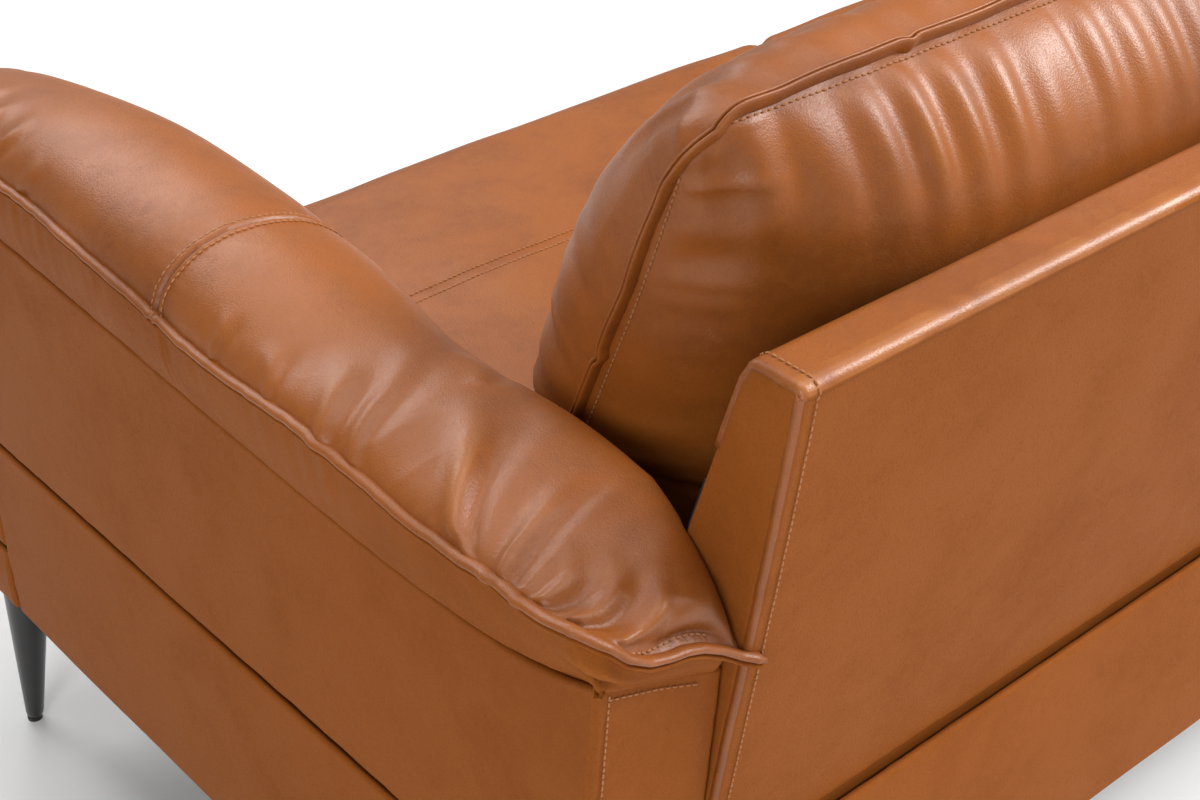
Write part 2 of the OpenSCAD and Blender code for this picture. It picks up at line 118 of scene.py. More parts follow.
def hashed(cells, seed):
    """A repeatable value from -1 to 1 for each whole-number cell."""
    n = cells[..., 0] * 374761393 + cells[..., 1] * 668265263 + cells[..., 2] * 2147483647 + seed * 974634777
    n = (n ^ (n >> 13)) * 1274126177 & 0x7FFFFFFF
    n = (n ^ (n >> 16)) & 0xFFFF
    return n / 32767.5 - 1.0


def billow(p, seed=0):
    """Smooth noise from -1 to 1 at points p, one swell for each unit of length."""
    p = np.asarray(p, float)
    cell = np.floor(p).astype(np.int64)
    f = p - cell
    f = f * f * (3 - 2 * f)
    total = 0
    for corner in np.ndindex(2, 2, 2):
        c = np.array(corner)
        weight = np.prod(np.where(c, f, 1 - f), axis=-1)
        total = total + weight * hashed(cell + c, seed)
    return total


def noise2(a, b, seed=0):
    return billow(np.stack(np.broadcast_arrays(a, b, 0.5), -1), seed)


def step(x, low, high):
    """A smooth rise from 0 at low to 1 at high."""
    t = np.clip((x - low) / (high - low), 0, 1)
    return t * t * (3 - 2 * t)


def bump_at(x, centre, width):
    """A smooth hump, 1 high at the centre and nearly gone two widths away."""
    return np.exp(-((x - centre) / width) ** 2)


# ---------------------------------------------------------------- meshes

def new_object(name, mesh):
    piece = bpy.data.objects.new(name, mesh)
    bpy.context.scene.collection.objects.link(piece)
    return piece


def mesh_from(name, points, faces, material):
    """A smooth-shaded piece whose faces point outwards."""
    mesh = bpy.data.meshes.new(name)
    mesh.from_pydata([tuple(p) for p in points], [], faces)
    shape = bmesh.new()
    shape.from_mesh(mesh)
    bmesh.ops.recalc_face_normals(shape, faces=shape.faces)
    shape.to_mesh(mesh)
    shape.free()
    mesh.polygons.foreach_set("use_smooth", [True] * len(mesh.polygons))
    mesh.materials.append(material)
    return new_object(name, mesh)


def tube_faces(rings, around):
    """Quads between closed rings of points."""
    faces = []
    for i in range(rings - 1):
        for j in range(around):
            k = (j + 1) % around
            a, b = i * around, (i + 1) * around
            faces.append((a + j, a + k, b + k, b + j))
    return faces


def loft(name, rings, material, side=MIDDLE):
    """A closed solid through rings of points, each end closed towards its middle."""
    rings = np.asarray(rings, float)
    count, around = rings.shape[:2]
    points = list(placed(rings.reshape(-1, 3), side))
    faces = tube_faces(count, around)
    for ring, first in ((rings[0], 0), (rings[-1], (count - 1) * around)):
        inner = first
        for share in (0.66, 0.33):
            middle = ring.mean(0)
            start = len(points)
            points += list(placed(middle + (ring - middle) * share, side))
            faces += [(inner + j, inner + (j + 1) % around, start + (j + 1) % around, start + j)
                      for j in range(around)]
            inner = start
        points.append(placed(middle, side))
        faces += [(inner + j, inner + (j + 1) % around, len(points) - 1) for j in range(around)]
    return mesh_from(name, points, faces, material)


def pipe(name, path, radii, material, side, flat, around=12):
    """A cord of leather along a path. radii may vary along it, and flat squeezes it upwards."""
    path = np.asarray(path, float)
    radii = np.broadcast_to(radii, len(path))
    tangent = np.gradient(path, axis=0)
    tangent /= np.linalg.norm(tangent, axis=1, keepdims=True)
    across = np.cross(tangent, (0, 0, 1))
    across /= np.linalg.norm(across, axis=1, keepdims=True)
    over = np.cross(across, tangent)
    a = np.linspace(0, 2 * math.pi, around, endpoint=False)
    rings = (path[:, None] + across[:, None] * (np.cos(a)[None, :, None] * radii[:, None, None])
             + over[:, None] * (np.sin(a)[None, :, None] * radii[:, None, None] * flat))
    return loft(name, rings, material, side)


def evenly(path, spacing):
    """A path's points, spread evenly."""
    path = np.asarray(path, float)
    run = np.concatenate([[0], np.cumsum(np.linalg.norm(np.diff(path, axis=0), axis=1))])
    at = np.linspace(0, run[-1], max(2, int(round(run[-1] / spacing)) + 1))
    return np.stack([np.interp(at, run, path[:, k]) for k in range(3)], -1)


def join(name, pieces):
    """One piece made of several."""
    shape = bmesh.new()
    materials = []
    for piece in pieces:
        first = len(shape.faces)
        shape.from_mesh(piece.data)
        shape.faces.ensure_lookup_table()
        own = list(piece.data.materials)
        materials += [m for m in own if m not in materials]
        for face in shape.faces[first:]:
            face.material_index = materials.index(own[face.material_index])
    mesh = bpy.data.meshes.new(name)
    shape.to_mesh(mesh)
    shape.free()
    for material in materials:
        mesh.materials.append(material)
    for piece in pieces:
        bpy.data.objects.remove(piece)
    return new_object(name, mesh)


def shown(piece, body, *nodes, slot="leather"):
    """The piece moves with a body, and stands for the CAD nodes named."""
    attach(piece, body)
    if nodes:
        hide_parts(*nodes)


def side_name(side):
    return "right" if side == RIGHT else "left"


# ---------------------------------------------------------------- sheets of leather

HIDE_T = 2.5


def normals_of(grid):
    """Unit normals of a grid of points."""
    n = np.cross(np.gradient(grid, axis=0), np.gradient(grid, axis=1))
    return n / np.maximum(np.linalg.norm(n, axis=-1, keepdims=True), 1e-9)


def facing(grid, outwards):
    """The grid's normals, turned so that the middle one points outwards."""
    normal = normals_of(grid)
    middle = normal[grid.shape[0] // 2, grid.shape[1] // 2]
    return -normal if np.dot(middle, outwards) < 0 else normal


def quads(index):
    """Faces of a grid of vertex numbers."""
    corners = (index[:-1, :-1], index[1:, :-1], index[1:, 1:], index[:-1, 1:])
    return np.stack(corners, -1).reshape(-1, 4).tolist()


def shell(name, grid, material, side=MIDDLE, outwards=(1, 0, 0), thick=HIDE_T, fold=None):
    """A sheet of leather with a real thickness, whose outer face is a grid of points."""
    rows, cols = grid.shape[:2]
    inner = grid - facing(grid, outwards) * thick
    points = placed(np.concatenate([grid.reshape(-1, 3), inner.reshape(-1, 3)]), side)
    index = np.arange(rows * cols).reshape(rows, cols)
    under = index + rows * cols
    rim = np.concatenate([index[0], index[1:, -1], index[-1, -2::-1], index[-2::-1, 0]])
    faces = quads(index) + quads(under) + quads(np.stack([rim, rim + rows * cols]))
    piece = mesh_from(name, points, faces, material)
    if fold is not None:
        set_fold(piece, np.concatenate([fold.ravel(), fold.ravel()]))
    return piece


def set_fold(piece, fold):
    """Stores how far each point stands proud (above 0) or lies in a crease (below 0), which the leather
    paints lighter as a highlight (partly pull-up) or darker as shade.
    """
    values = piece.data.attributes.new("fold", "FLOAT", "POINT")
    values.data.foreach_set("value", np.asarray(fold, np.float32).ravel())


def spread(low, high, coarse, edge=12.0, fine=1.5):
    """Values from low to high, closer together near both ends."""
    ends = np.arange(0, edge, fine)
    middle = np.linspace(low + edge, high - edge, max(2, int((high - low - 2 * edge) / coarse) + 1))
    return np.concatenate([low + ends, middle, high - ends[::-1]])


def edge_distances(grid):
    """How far each point of a grid is from its first and last rows and its first and last columns."""
    def run(axis):
        steps = np.linalg.norm(np.diff(grid, axis=axis), axis=-1)
        zero = np.zeros_like(steps[:1] if axis == 0 else steps[:, :1])
        return np.concatenate([zero, np.cumsum(steps, axis)], axis)
    down, across = run(0), run(1)
    return down, down[-1:] - down, across, across[:, -1:] - across


def rolled(grid, radius, outwards, edges=(1, 1, 1, 1), waves=0.5, seed=0):
    """The grid with its borders rounded in, as leather turns into a seam, and a fold value that darkens the
    rounded borders as painted shade and lightens or darkens the puckers beside them as painted highlight and
    shade.
    """
    normal = facing(grid, outwards)
    depth = 0
    pull = 0
    for used, distance in zip(edges, edge_distances(grid)):
        if used:
            inside = np.clip(radius - distance, 0, radius)
            depth = np.maximum(depth, radius - np.sqrt(radius ** 2 - inside ** 2))
            pull = np.maximum(pull, np.exp(-distance / 9))
    pucker = billow(grid / 11, seed) * waves * pull
    return grid + normal * (pucker - depth)[..., None], pucker * 0.6 - 0.8 * depth / radius


def eased(grid, outwards, height, size, seed):
    """The grid with the slow, slight waves of leather stretched over padding."""
    return grid + facing(grid, outwards) * (billow(grid / size, seed) * height)[..., None]


def on_grid(grid, row, col, lift=0.0, outwards=(1, 0, 0)):
    """Points on a grid at fractional rows and columns, raised along its normals."""
    row, col = np.broadcast_arrays(np.asarray(row, float), np.asarray(col, float))
    surface = grid + facing(grid, outwards) * lift if lift else grid
    r = np.clip(row.astype(int), 0, grid.shape[0] - 2)
    c = np.clip(col.astype(int), 0, grid.shape[1] - 2)
    fr, fc = (row - r)[..., None], (col - c)[..., None]
    return ((surface[r, c] * (1 - fr) + surface[r + 1, c] * fr) * (1 - fc)
            + (surface[r, c + 1] * (1 - fr) + surface[r + 1, c + 1] * fr) * fc)


# ---------------------------------------------------------------- stitches

STITCH_STEP = 2.0
thread_paths = {}


def sewn(body, path, side=MIDDLE):
    """Notes a row of stitches along a path, made later with the others on its body."""
    thread_paths.setdefault(body, []).append(placed(path, side))


def stitch_tree(material):
    """A tree that lays stitches end to end along each edge path of a mesh."""
    tree = bpy.data.node_groups.new("row_of_stitches", "GeometryNodeTree")
    face = tree.interface
    face.new_socket(name="Path", in_out="INPUT", socket_type="NodeSocketGeometry")
    for label, value in (("Pitch", 0.005), ("Stitch Length", 0.0039), ("Thread Radius", 0.00072)):
        face.new_socket(name=label, in_out="INPUT", socket_type="NodeSocketFloat").default_value = value
    face.new_socket(name="Stitches", in_out="OUTPUT", socket_type="NodeSocketGeometry")
    given = add(tree, "NodeGroupInput").outputs
    curve = add(tree, "GeometryNodeMeshToCurve", {"Mesh": given["Path"]}).outputs[0]
    points = add(tree, "GeometryNodeCurveToPoints", {"Curve": curve, "Length": given["Pitch"]}, mode="LENGTH")
    thread = add(tree, "GeometryNodeMeshUVSphere", {"Segments": 6, "Rings": 6, "Radius": 0.5})
    width = add(tree, "ShaderNodeMath", {0: given["Thread Radius"], 1: 2.0}, operation="MULTIPLY").outputs[0]
    size = add(tree, "ShaderNodeCombineXYZ", {"X": width, "Y": width, "Z": given["Stitch Length"]}).outputs[0]
    row = add(tree, "GeometryNodeInstanceOnPoints",
              {"Points": points.outputs["Points"], "Instance": thread.outputs["Mesh"],
               "Rotation": points.outputs["Rotation"], "Scale": size})
    real = add(tree, "GeometryNodeRealizeInstances", {"Geometry": row.outputs[0]})
    smooth = add(tree, "GeometryNodeSetShadeSmooth", {"Geometry": real.outputs[0]})
    finished = add(tree, "GeometryNodeSetMaterial", {"Geometry": smooth.outputs[0], "Material": material})
    add(tree, "NodeGroupOutput", {"Stitches": finished.outputs[0]})
    return tree


def grown(name, source, tree):
    """The plain mesh that a geometry tree makes of a source object, which is removed."""
    source.modifiers.new("tree", "NODES").node_group = tree
    bpy.context.view_layer.update()
    result = source.evaluated_get(bpy.context.evaluated_depsgraph_get())
    mesh = bpy.data.meshes.new_from_object(result)
    mesh.name = name
    bpy.data.objects.remove(source)
    return new_object(name, mesh)


def make_stitches(material):
    tree = stitch_tree(material)
    for body, paths in thread_paths.items():
        points, edges = [], []
        for path in paths:
            edges += [(len(points) + i, len(points) + i + 1) for i in range(len(path) - 1)]
            points += [tuple(p) for p in path]
        mesh = bpy.data.meshes.new("paths")
        mesh.from_pydata(points, edges, [])
        shown(grown("stitches_" + body, new_object("paths", mesh), tree), body, slot="leather")


# ---------------------------------------------------------------- materials

def add(tree, kind, inputs=(), **settings):
    """A new node. An input is a value, or the socket of another node."""
    node = tree.nodes.new(kind)
    for key, value in settings.items():
        setattr(node, key, value)
    for key, value in dict(inputs).items():
        if isinstance(value, bpy.types.NodeSocket):
            tree.links.new(value, node.inputs[key])
        else:
            node.inputs[key].default_value = value
    return node


def mixed(tree, factor, a, b):
    """Colours a and b mixed by a factor."""
    return add(tree, "ShaderNodeMix", {0: factor, 6: a, 7: b}, data_type="RGBA").outputs[2]


def maths(tree, operation, a, b=0.0):
    return add(tree, "ShaderNodeMath", {0: a, 1: b}, operation=operation).outputs[0]


def ranged(tree, value, low, high, to_low=0.0, to_high=1.0):
    return add(tree, "ShaderNodeMapRange", {"Value": value, "From Min": low, "From Max": high,
                                            "To Min": to_low, "To Max": to_high},
               interpolation_type="SMOOTHSTEP").outputs[0]


def noise(tree, place, scale, detail=3.0, rough=0.5, warp=0.0):
    return add(tree, "ShaderNodeTexNoise", {"Vector": place, "Scale": scale, "Detail": detail,
                                            "Roughness": rough, "Distortion": warp}).outputs[0]


def effect(name, inputs):
    """A shader node group with named inputs, and the sockets that carry them inside it."""
    tree = bpy.data.node_groups.new(name, "ShaderNodeTree")
    for label, kind, value in inputs:
        socket = tree.interface.new_socket(name=label, in_out="INPUT", socket_type="NodeSocket" + kind)
        socket.default_value = value
    for label, kind in (("Color", "Color"), ("Roughness", "Float"), ("Normal", "Vector")):
        tree.interface.new_socket(name=label, in_out="OUTPUT", socket_type="NodeSocket" + kind)
    return tree, add(tree, "NodeGroupInput").outputs


def srgb(red, green, blue):
    """A colour given from 0 to 255 a channel."""
    return tuple((c / 255 / 12.92 if c <= 10 else ((c / 255 + 0.055) / 1.055) ** 2.4)
                 for c in (red, green, blue)) + (1.0,)


def leather_effect():
    """Cloudy colour, pebbled grain, polish and a lighter colour on what stands proud (part pull-up of the
    leather, part painted highlight), and painted shade in creases.
    """
    tree, given = effect("oiled_leather", (
        ("Hide", "Color", srgb(147, 80, 24)), ("Cloud", "Color", srgb(112, 56, 12)),
        ("Rub And Highlight", "Color", srgb(174, 109, 52)), ("Crease", "Color", srgb(80, 37, 9)),
        ("Cloudiness", "Float", 0.5), ("Grain Size", "Float", 0.0011), ("Grain Depth", "Float", 0.35)))
    place = add(tree, "ShaderNodeTexCoord").outputs["Object"]
    wide = noise(tree, place, scale=6.0, detail=4.0, rough=0.55, warp=0.6)
    cloud = noise(tree, place, scale=26.0, detail=5.0, rough=0.62, warp=0.4)
    fleck = noise(tree, place, scale=120.0, detail=4.0, rough=0.6)
    pores = noise(tree, place, scale=420.0, detail=3.0, rough=0.6)
    blotch = maths(tree, "ADD", maths(tree, "MULTIPLY", wide, 0.55), maths(tree, "MULTIPLY", cloud, 0.45))
    dark = maths(tree, "MULTIPLY", ranged(tree, blotch, 0.42, 0.66), given["Cloudiness"])
    colour = mixed(tree, dark, given["Hide"], given["Cloud"])
    light = maths(tree, "MULTIPLY", ranged(tree, maths(tree, "MULTIPLY", cloud, fleck), 0.22, 0.46), 0.2)
    colour = mixed(tree, light, colour, given["Rub And Highlight"])
    # The fold attribute paints the light: what stands proud takes the lighter colour, partly pull-up and
    # partly a painted highlight, and creases take the dark crease colour as painted shade.
    fold = add(tree, "ShaderNodeAttribute", attribute_name="fold").outputs["Fac"]
    proud = maths(tree, "MULTIPLY", ranged(tree, fold, 0.1, 1.4), 0.55)
    crease_shade = maths(tree, "MULTIPLY", ranged(tree, fold, -0.2, -1.8), 0.6)
    colour = mixed(tree, proud, colour, given["Rub And Highlight"])
    colour = mixed(tree, crease_shade, colour, given["Crease"])
    scale = maths(tree, "DIVIDE", 1.0, given["Grain Size"])
    bent = add(tree, "ShaderNodeVectorMath", {0: place, 1: noise_vector(tree, place, 300.0)}).outputs[0]
    cells = add(tree, "ShaderNodeTexVoronoi", {"Vector": bent, "Scale": scale}, feature="SMOOTH_F1")
    pebble = cells.outputs[0]
    height = maths(tree, "ADD", maths(tree, "MULTIPLY", pebble, -0.9), maths(tree, "MULTIPLY", pores, 0.8))
    colour = mixed(tree, ranged(tree, pebble, 0.35, 0.75, 0.0, 0.16), colour, given["Crease"])
    bump = add(tree, "ShaderNodeBump",
               {"Strength": given["Grain Depth"], "Distance": 0.0004, "Height": height})
    dull = ranged(tree, blotch, 0.35, 0.7, to_low=0.36, to_high=0.46)
    rough = maths(tree, "ADD", dull, ranged(tree, pebble, 0.2, 0.8, to_high=0.1))
    rough = maths(tree, "SUBTRACT", rough, ranged(tree, fold, 0.0, 1.5, to_high=0.05))
    add(tree, "NodeGroupOutput", {"Color": colour, "Roughness": rough, "Normal": bump.outputs[0]})
    return tree


def noise_vector(tree, place, scale):
    """A small shift of place that bends a pattern."""
    shift = add(tree, "ShaderNodeTexNoise", {"Vector": place, "Scale": scale, "Detail": 1.0}).outputs[1]
    return add(tree, "ShaderNodeVectorMath", {0: shift, 3: 0.0006}, operation="SCALE").outputs[0]


def weave_effect():
    """Crossed threads, with a little unevenness."""
    tree, given = effect("woven_cloth", (
        ("Warp", "Color", srgb(60, 42, 30)), ("Weft", "Color", srgb(44, 30, 22)),
        ("Thread", "Float", 0.0009)))
    place = add(tree, "ShaderNodeTexCoord").outputs["Object"]
    axes = add(tree, "ShaderNodeSeparateXYZ", {0: place}).outputs
    turns = maths(tree, "DIVIDE", math.pi, given["Thread"])
    along = maths(tree, "SINE", maths(tree, "MULTIPLY", axes[0], turns))
    across = maths(tree, "SINE", maths(tree, "MULTIPLY", maths(tree, "ADD", axes[1], axes[2]), turns))
    weave = ranged(tree, maths(tree, "MULTIPLY", along, across), -0.8, 0.8)
    patchy = noise(tree, place, 40.0, 3.0)
    colour = mixed(tree, maths(tree, "MULTIPLY", weave, 0.7), given["Warp"], given["Weft"])
    colour = mixed(tree, ranged(tree, patchy, 0.3, 0.8, 0.0, 0.3), colour, given["Weft"])
    bump = add(tree, "ShaderNodeBump", {"Strength": 0.5, "Distance": 0.0004, "Height": weave})
    add(tree, "NodeGroupOutput", {"Color": colour, "Roughness": ranged(tree, patchy, 0.3, 0.8, 0.8, 0.95),
                                  "Normal": bump.outputs[0]})
    return tree


def grain_effect():
    """Wood grain that runs along one axis, stretched by Length."""
    tree, given = effect("wood_grain", (
        ("Pale", "Color", srgb(214, 184, 140)), ("Dark", "Color", srgb(170, 130, 84)),
        ("Length", "Vector", (0.08, 1.0, 1.0)), ("Fineness", "Float", 90.0), ("Depth", "Float", 0.3)))
    place = add(tree, "ShaderNodeTexCoord").outputs["Object"]
    drawn = add(tree, "ShaderNodeVectorMath", {0: place, 1: given["Length"]}, operation="MULTIPLY").outputs[0]
    rings = noise(tree, drawn, given["Fineness"], detail=4.0, rough=0.6, warp=1.2)
    pores = noise(tree, drawn, maths(tree, "MULTIPLY", given["Fineness"], 9.0), detail=2.0)
    colour = mixed(tree, ranged(tree, rings, 0.3, 0.7), given["Pale"], given["Dark"])
    colour = mixed(tree, ranged(tree, pores, 0.55, 0.75, 0.0, 0.5), colour, given["Dark"])
    height = maths(tree, "ADD", rings, maths(tree, "MULTIPLY", pores, 0.6))
    bump = add(tree, "ShaderNodeBump", {"Strength": given["Depth"], "Distance": 0.0005, "Height": height})
    add(tree, "NodeGroupOutput", {"Color": colour, "Roughness": ranged(tree, rings, 0.3, 0.8, 0.5, 0.7),
                                  "Normal": bump.outputs[0]})
    return tree


def finish_of(name, tree, sockets, roughness=None, **constants):
    """A material whose colour, roughness and normal come from an effect, with its own values.

    A roughness given here takes the effect's place, and a constant names an input of the main shader.
    """
    material = bpy.data.materials.new(name)
    material.use_nodes = True
    nodes = material.node_tree
    shader = nodes.nodes["Principled BSDF"]
    group = nodes.nodes.new("ShaderNodeGroup")
    group.node_tree = tree
    for key, value in sockets.items():
        group.inputs[key].default_value = value
    nodes.links.new(group.outputs["Color"], shader.inputs["Base Color"])
    nodes.links.new(group.outputs["Normal"], shader.inputs["Normal"])
    if roughness is None:
        nodes.links.new(group.outputs["Roughness"], shader.inputs["Roughness"])
    else:
        shader.inputs["Roughness"].default_value = roughness
    for key, value in constants.items():
        shader.inputs[key.replace("_", " ")].default_value = value
    return material


hide = leather_effect()
weave = weave_effect()
grain = grain_effect()
LEATHER = finish_of("oiled_leather", hide, {"Cloudiness": 0.6}, Specular_IOR_Level=0.48)
# A copy of the same leather for the sides, rear faces, bands and under-lips, with duller colours and almost
# no gloss, as painted shading for how those faces are lit.
LEATHER_SHADED_FOR_SIDES = finish_of("leather_shaded_for_sides", hide, {
    "Hide": srgb(143, 80, 32), "Cloud": srgb(120, 62, 21), "Rub And Highlight": srgb(160, 95, 45), "Cloudiness": 0.4,
}, Specular_IOR_Level=0.02)
THREAD = finish_of("thread", weave, {
    "Warp": srgb(188, 130, 82), "Weft": srgb(146, 90, 48), "Thread": 0.0003,
})
BLACK_WOOD = finish_of("black_lacquered_wood", grain, {
    "Pale": srgb(24, 22, 21), "Dark": srgb(13, 12, 12),
    "Length": (1.0, 1.0, 0.06), "Fineness": 160.0, "Depth": 0.15,
}, roughness=0.32, Coat_Weight=0.3, Coat_Roughness=0.25)
GLIDE = finish_of("nylon_glide", hide, {
    "Hide": srgb(30, 29, 28), "Cloud": srgb(20, 20, 20), "Rub And Highlight": srgb(48, 46, 45), "Crease": srgb(10, 10, 10),
})
STEEL = finish_of("bright_steel", grain, {
    "Pale": srgb(170, 172, 176), "Dark": srgb(132, 134, 138),
    "Length": (0.2, 1.0, 1.0), "Fineness": 300.0, "Depth": 0.1,
}, roughness=0.35, Metallic=1.0)
HARDWOOD = finish_of("sawn_hardwood", grain, {})
PLYWOOD = finish_of("plywood", grain, {
    "Pale": srgb(222, 196, 156), "Dark": srgb(190, 156, 112), "Length": (1.0, 0.06, 1.0),
})
LINING = finish_of("lining_cloth", weave, {"Warp": srgb(104, 66, 40), "Weft": srgb(84, 52, 32)})
BLACK_CLOTH = finish_of("black_cloth", weave, {"Warp": srgb(34, 33, 34), "Weft": srgb(22, 22, 23)})
FOAM = finish_of("foam", hide, {
    "Hide": srgb(236, 226, 190), "Cloud": srgb(222, 208, 166), "Rub And Highlight": srgb(244, 238, 214),
    "Crease": srgb(190, 176, 136), "Grain Size": 0.0016, "Grain Depth": 0.9,
}, roughness=0.9)
FIBRE = finish_of("fibre", hide, {
    "Hide": srgb(238, 238, 234), "Cloud": srgb(224, 224, 220), "Rub And Highlight": srgb(248, 248, 246),
    "Crease": srgb(200, 200, 198), "Grain Size": 0.004, "Grain Depth": 0.9,
}, roughness=0.95)


# ---------------------------------------------------------------- camera

TURN, LIFT, ROLL = math.radians(139.205), math.radians(32.736), math.radians(-0.308)
camera = bpy.data.objects.new("camera", bpy.data.cameras.new("camera"))
bpy.context.scene.collection.objects.link(camera)
bpy.context.scene.camera = camera
camera.data.lens = 61.1
camera.data.sensor_width = 36
camera.data.clip_end = 50
CAMERA_AT = (539.2, 639.4, 1135.0)
backwards = Vector((math.sin(TURN) * math.cos(LIFT), -math.cos(TURN) * math.cos(LIFT), math.sin(LIFT)))
level = Vector((0, 0, 1)).cross(backwards).normalized()
over = backwards.cross(level)
rightwards = level * math.cos(ROLL) + over * math.sin(ROLL)
upwards = over * math.cos(ROLL) - level * math.sin(ROLL)
turned = Matrix((rightwards, upwards, backwards)).transposed().to_4x4()
camera.matrix_world = Matrix.Translation(placed(CAMERA_AT, RIGHT)) @ turned


# ---------------------------------------------------------------- arm pads
# t runs along the pad from its pointed rear end (below 0) over the top, round the front and down.

ROLL_R = 30.0
TOP_END = BASE_D - 29.0
ROLL_END = TOP_END + ROLL_R * math.pi / 2
FALL_END = ROLL_END + BOARD_H - ROLL_R - (BAND_H - 10)
TAIL_T = 62.0
WELT_X = ((60, 12), (400, 11), (530, 8), (640, 4), (FALL_END, 3))
WELT_N = ((0, 31), (50, 29), (90, 26), (180, 30), (250, 35), (340, 32), (400, 34), (450, 40), (640, 46),
          (700, 44), (820, 29), (900, 17), (FALL_END, 17))
CROWN_N = ((60, 46), (200, 58), (270, 61), (330, 70), (400, 78), (500, 84), (600, 85), (680, 79), (780, 62),
           (860, 41), (900, 35), (FALL_END, 34))
CROWN_X = ((60, -80), (110, -73), (170, -65), (250, -60), (FALL_END, -60))
SEAM_Z = ((0, 419), (30, 408), (60, 401), (120, 394), (180, 392), (340, 398), (670, 416), (FALL_END, 420))
INNER_X = ((60, -111), (130, -119), (270, -122), (330, -133), (780, -134), (870, -121), (900, -112),
           (FALL_END, -110))
# The rear welt, from the outer corner down to the pointed inner end
REAR_WELT = ((12, 6, 463), (0, 18, 454), (-12, 22, 441), (-25, 22, 432), (-40, 22, 427), (-52, 22, 425),
             (-65, 22, 420), (-80, 23, 411), (-92, 25, 402))
EAR = ((-100, 28, 398), (-107, 31, 394))
PAD_SEAM_T = 415.0
PAD_GIRTH = 190.0
# Share of v that runs from the welt up to the crown
CROWN_V = 0.42
# The skin's rows: from t, down to t, and the step between them, which is finest beside the seam
PAD_ROWS = ((FALL_END, 820, 4.0), (820, 430, 2.6), (430, 400, 1.0), (400, TAIL_T, 2.4))
TAIL_END_T = -20.0
WELT_STEP = 2.5
# Folds that run in from the welt: t and v at both ends, half width and height
PAD_FOLDS = ((255, 0.30, 220, 0.03, 9, 3.4), (240, 0.45, 190, 0.05, 7, 2.2), (170, 0.40, 100, 0.10, 8, 4.2),
             (225, 0.60, 185, 0.50, 9, 1.8), (140, 0.30, 85, 0.05, 5, 2.4), (80, 0.35, 55, 0.05, 6, 4.2),
             (60, 0.40, 45, 0.05, 4, 2.6), (45, 0.25, 35, 0.05, 5, 4.0), (30, 0.30, 15, 0.05, 5, 4.4),
             (15, 0.40, -5, 0.15, 4.5, 3.4), (300, 0.20, 280, 0.03, 6, 2.2), (350, 0.20, 345, 0.03, 5, 1.8),
             (690, 0.35, 715, 0.05, 8, 3.4), (650, 0.30, 665, 0.05, 6, 2.4), (735, 0.40, 760, 0.05, 7, 3.4),
             (790, 0.40, 800, 0.05, 7, 3.0), (600, 0.20, 610, 0.03, 6, 1.8))


def spine(t):
    """A point on the board under the pad, and the way out from it, as (y, z) pairs."""
    turn = np.clip((t - TOP_END) / ROLL_R, 0, math.pi / 2)
    y = -np.minimum(t, TOP_END) - ROLL_R * np.sin(turn)
    z = BOARD_H - ROLL_R * (1 - np.cos(turn)) - np.maximum(t - ROLL_END, 0)
    return np.stack([y, z], -1), np.stack([-np.sin(turn), np.cos(turn)], -1)


def pad_section(t, v):
    """x and height of the skin at t, for v from 0 at the welt, over the crown, to 1 at its inner foot."""
    welt_x, welt_n = through(t, WELT_X), through(t, WELT_N)
    crown, crown_x, inner = through(t, CROWN_N), through(t, CROWN_X), through(t, INNER_X)
    side = np.clip(v / CROWN_V, 0, 1) * math.pi / 2
    x = welt_x + (crown_x - welt_x) * (1 - np.cos(side))
    n = welt_n + (crown - welt_n) * np.sin(side)
    low = np.minimum(20, crown * 0.35)
    under = math.pi / 2 + np.arcsin(low / (crown - low))
    turn = np.clip((v - CROWN_V) / 0.58, 0, 1) * under
    past = v > CROWN_V
    boxy = 1 - 0.42 * step(-t, -230, -80)
    x = np.where(past, crown_x + (inner - crown_x) * np.sin(turn) ** boxy, x)
    n = np.where(past, low + (crown - low) * np.sign(np.cos(turn)) * np.abs(np.cos(turn)) ** boxy, n)
    return x, n


def pad_skin():
    """The pad's skin as a grid of points, with each point's run t along the pad and its share v across it."""
    along = np.concatenate([np.arange(start, end, -pitch) for start, end, pitch in PAD_ROWS])
    v = np.linspace(0, 1, 105)
    t, vv = np.meshgrid(along, v, indexing="ij")
    x, n = pad_section(t, vv)
    foot, out = spine(t)
    end = np.clip((FALL_END - t) / 17, 0, 1)
    n = n * np.sqrt(np.clip(1 - (1 - end) ** 2, 0, 1))
    body = np.stack([x, foot[..., 0] + out[..., 0] * n, foot[..., 1] + out[..., 1] * n], -1)
    # The rear end drops over to the rear welt
    welt = np.array(REAR_WELT, float)
    share = np.linspace(0, 1, len(welt))
    goal = np.stack([np.interp(1 - (1 - v) ** 1.8, share, welt[:, k]) for k in range(3)], -1)
    w = np.linspace(0, 1, 40)[1:, None, None]
    last = body[-1][None]
    level_share, drop_share = np.sin(w * math.pi / 2), 1 - np.cos(w * math.pi / 2)
    tail = last + (goal[None] - last) * np.concatenate([level_share, level_share, drop_share], -1)
    grid = np.concatenate([body, tail])
    beside_back = step(grid[..., 1], back_front(grid[..., 2]) - 30, back_front(grid[..., 2]) + 4)
    limit = -ARM_W - 30 + 29.5 * beside_back
    grid[..., 0] = np.where(beside_back > 0, np.maximum(grid[..., 0], limit), grid[..., 0])
    run = np.concatenate([along, TAIL_T + (TAIL_END_T - TAIL_T) * w[:, 0, 0]])
    return grid, np.broadcast_to(run[:, None], grid.shape[:2]), np.broadcast_to(v[None], grid.shape[:2])


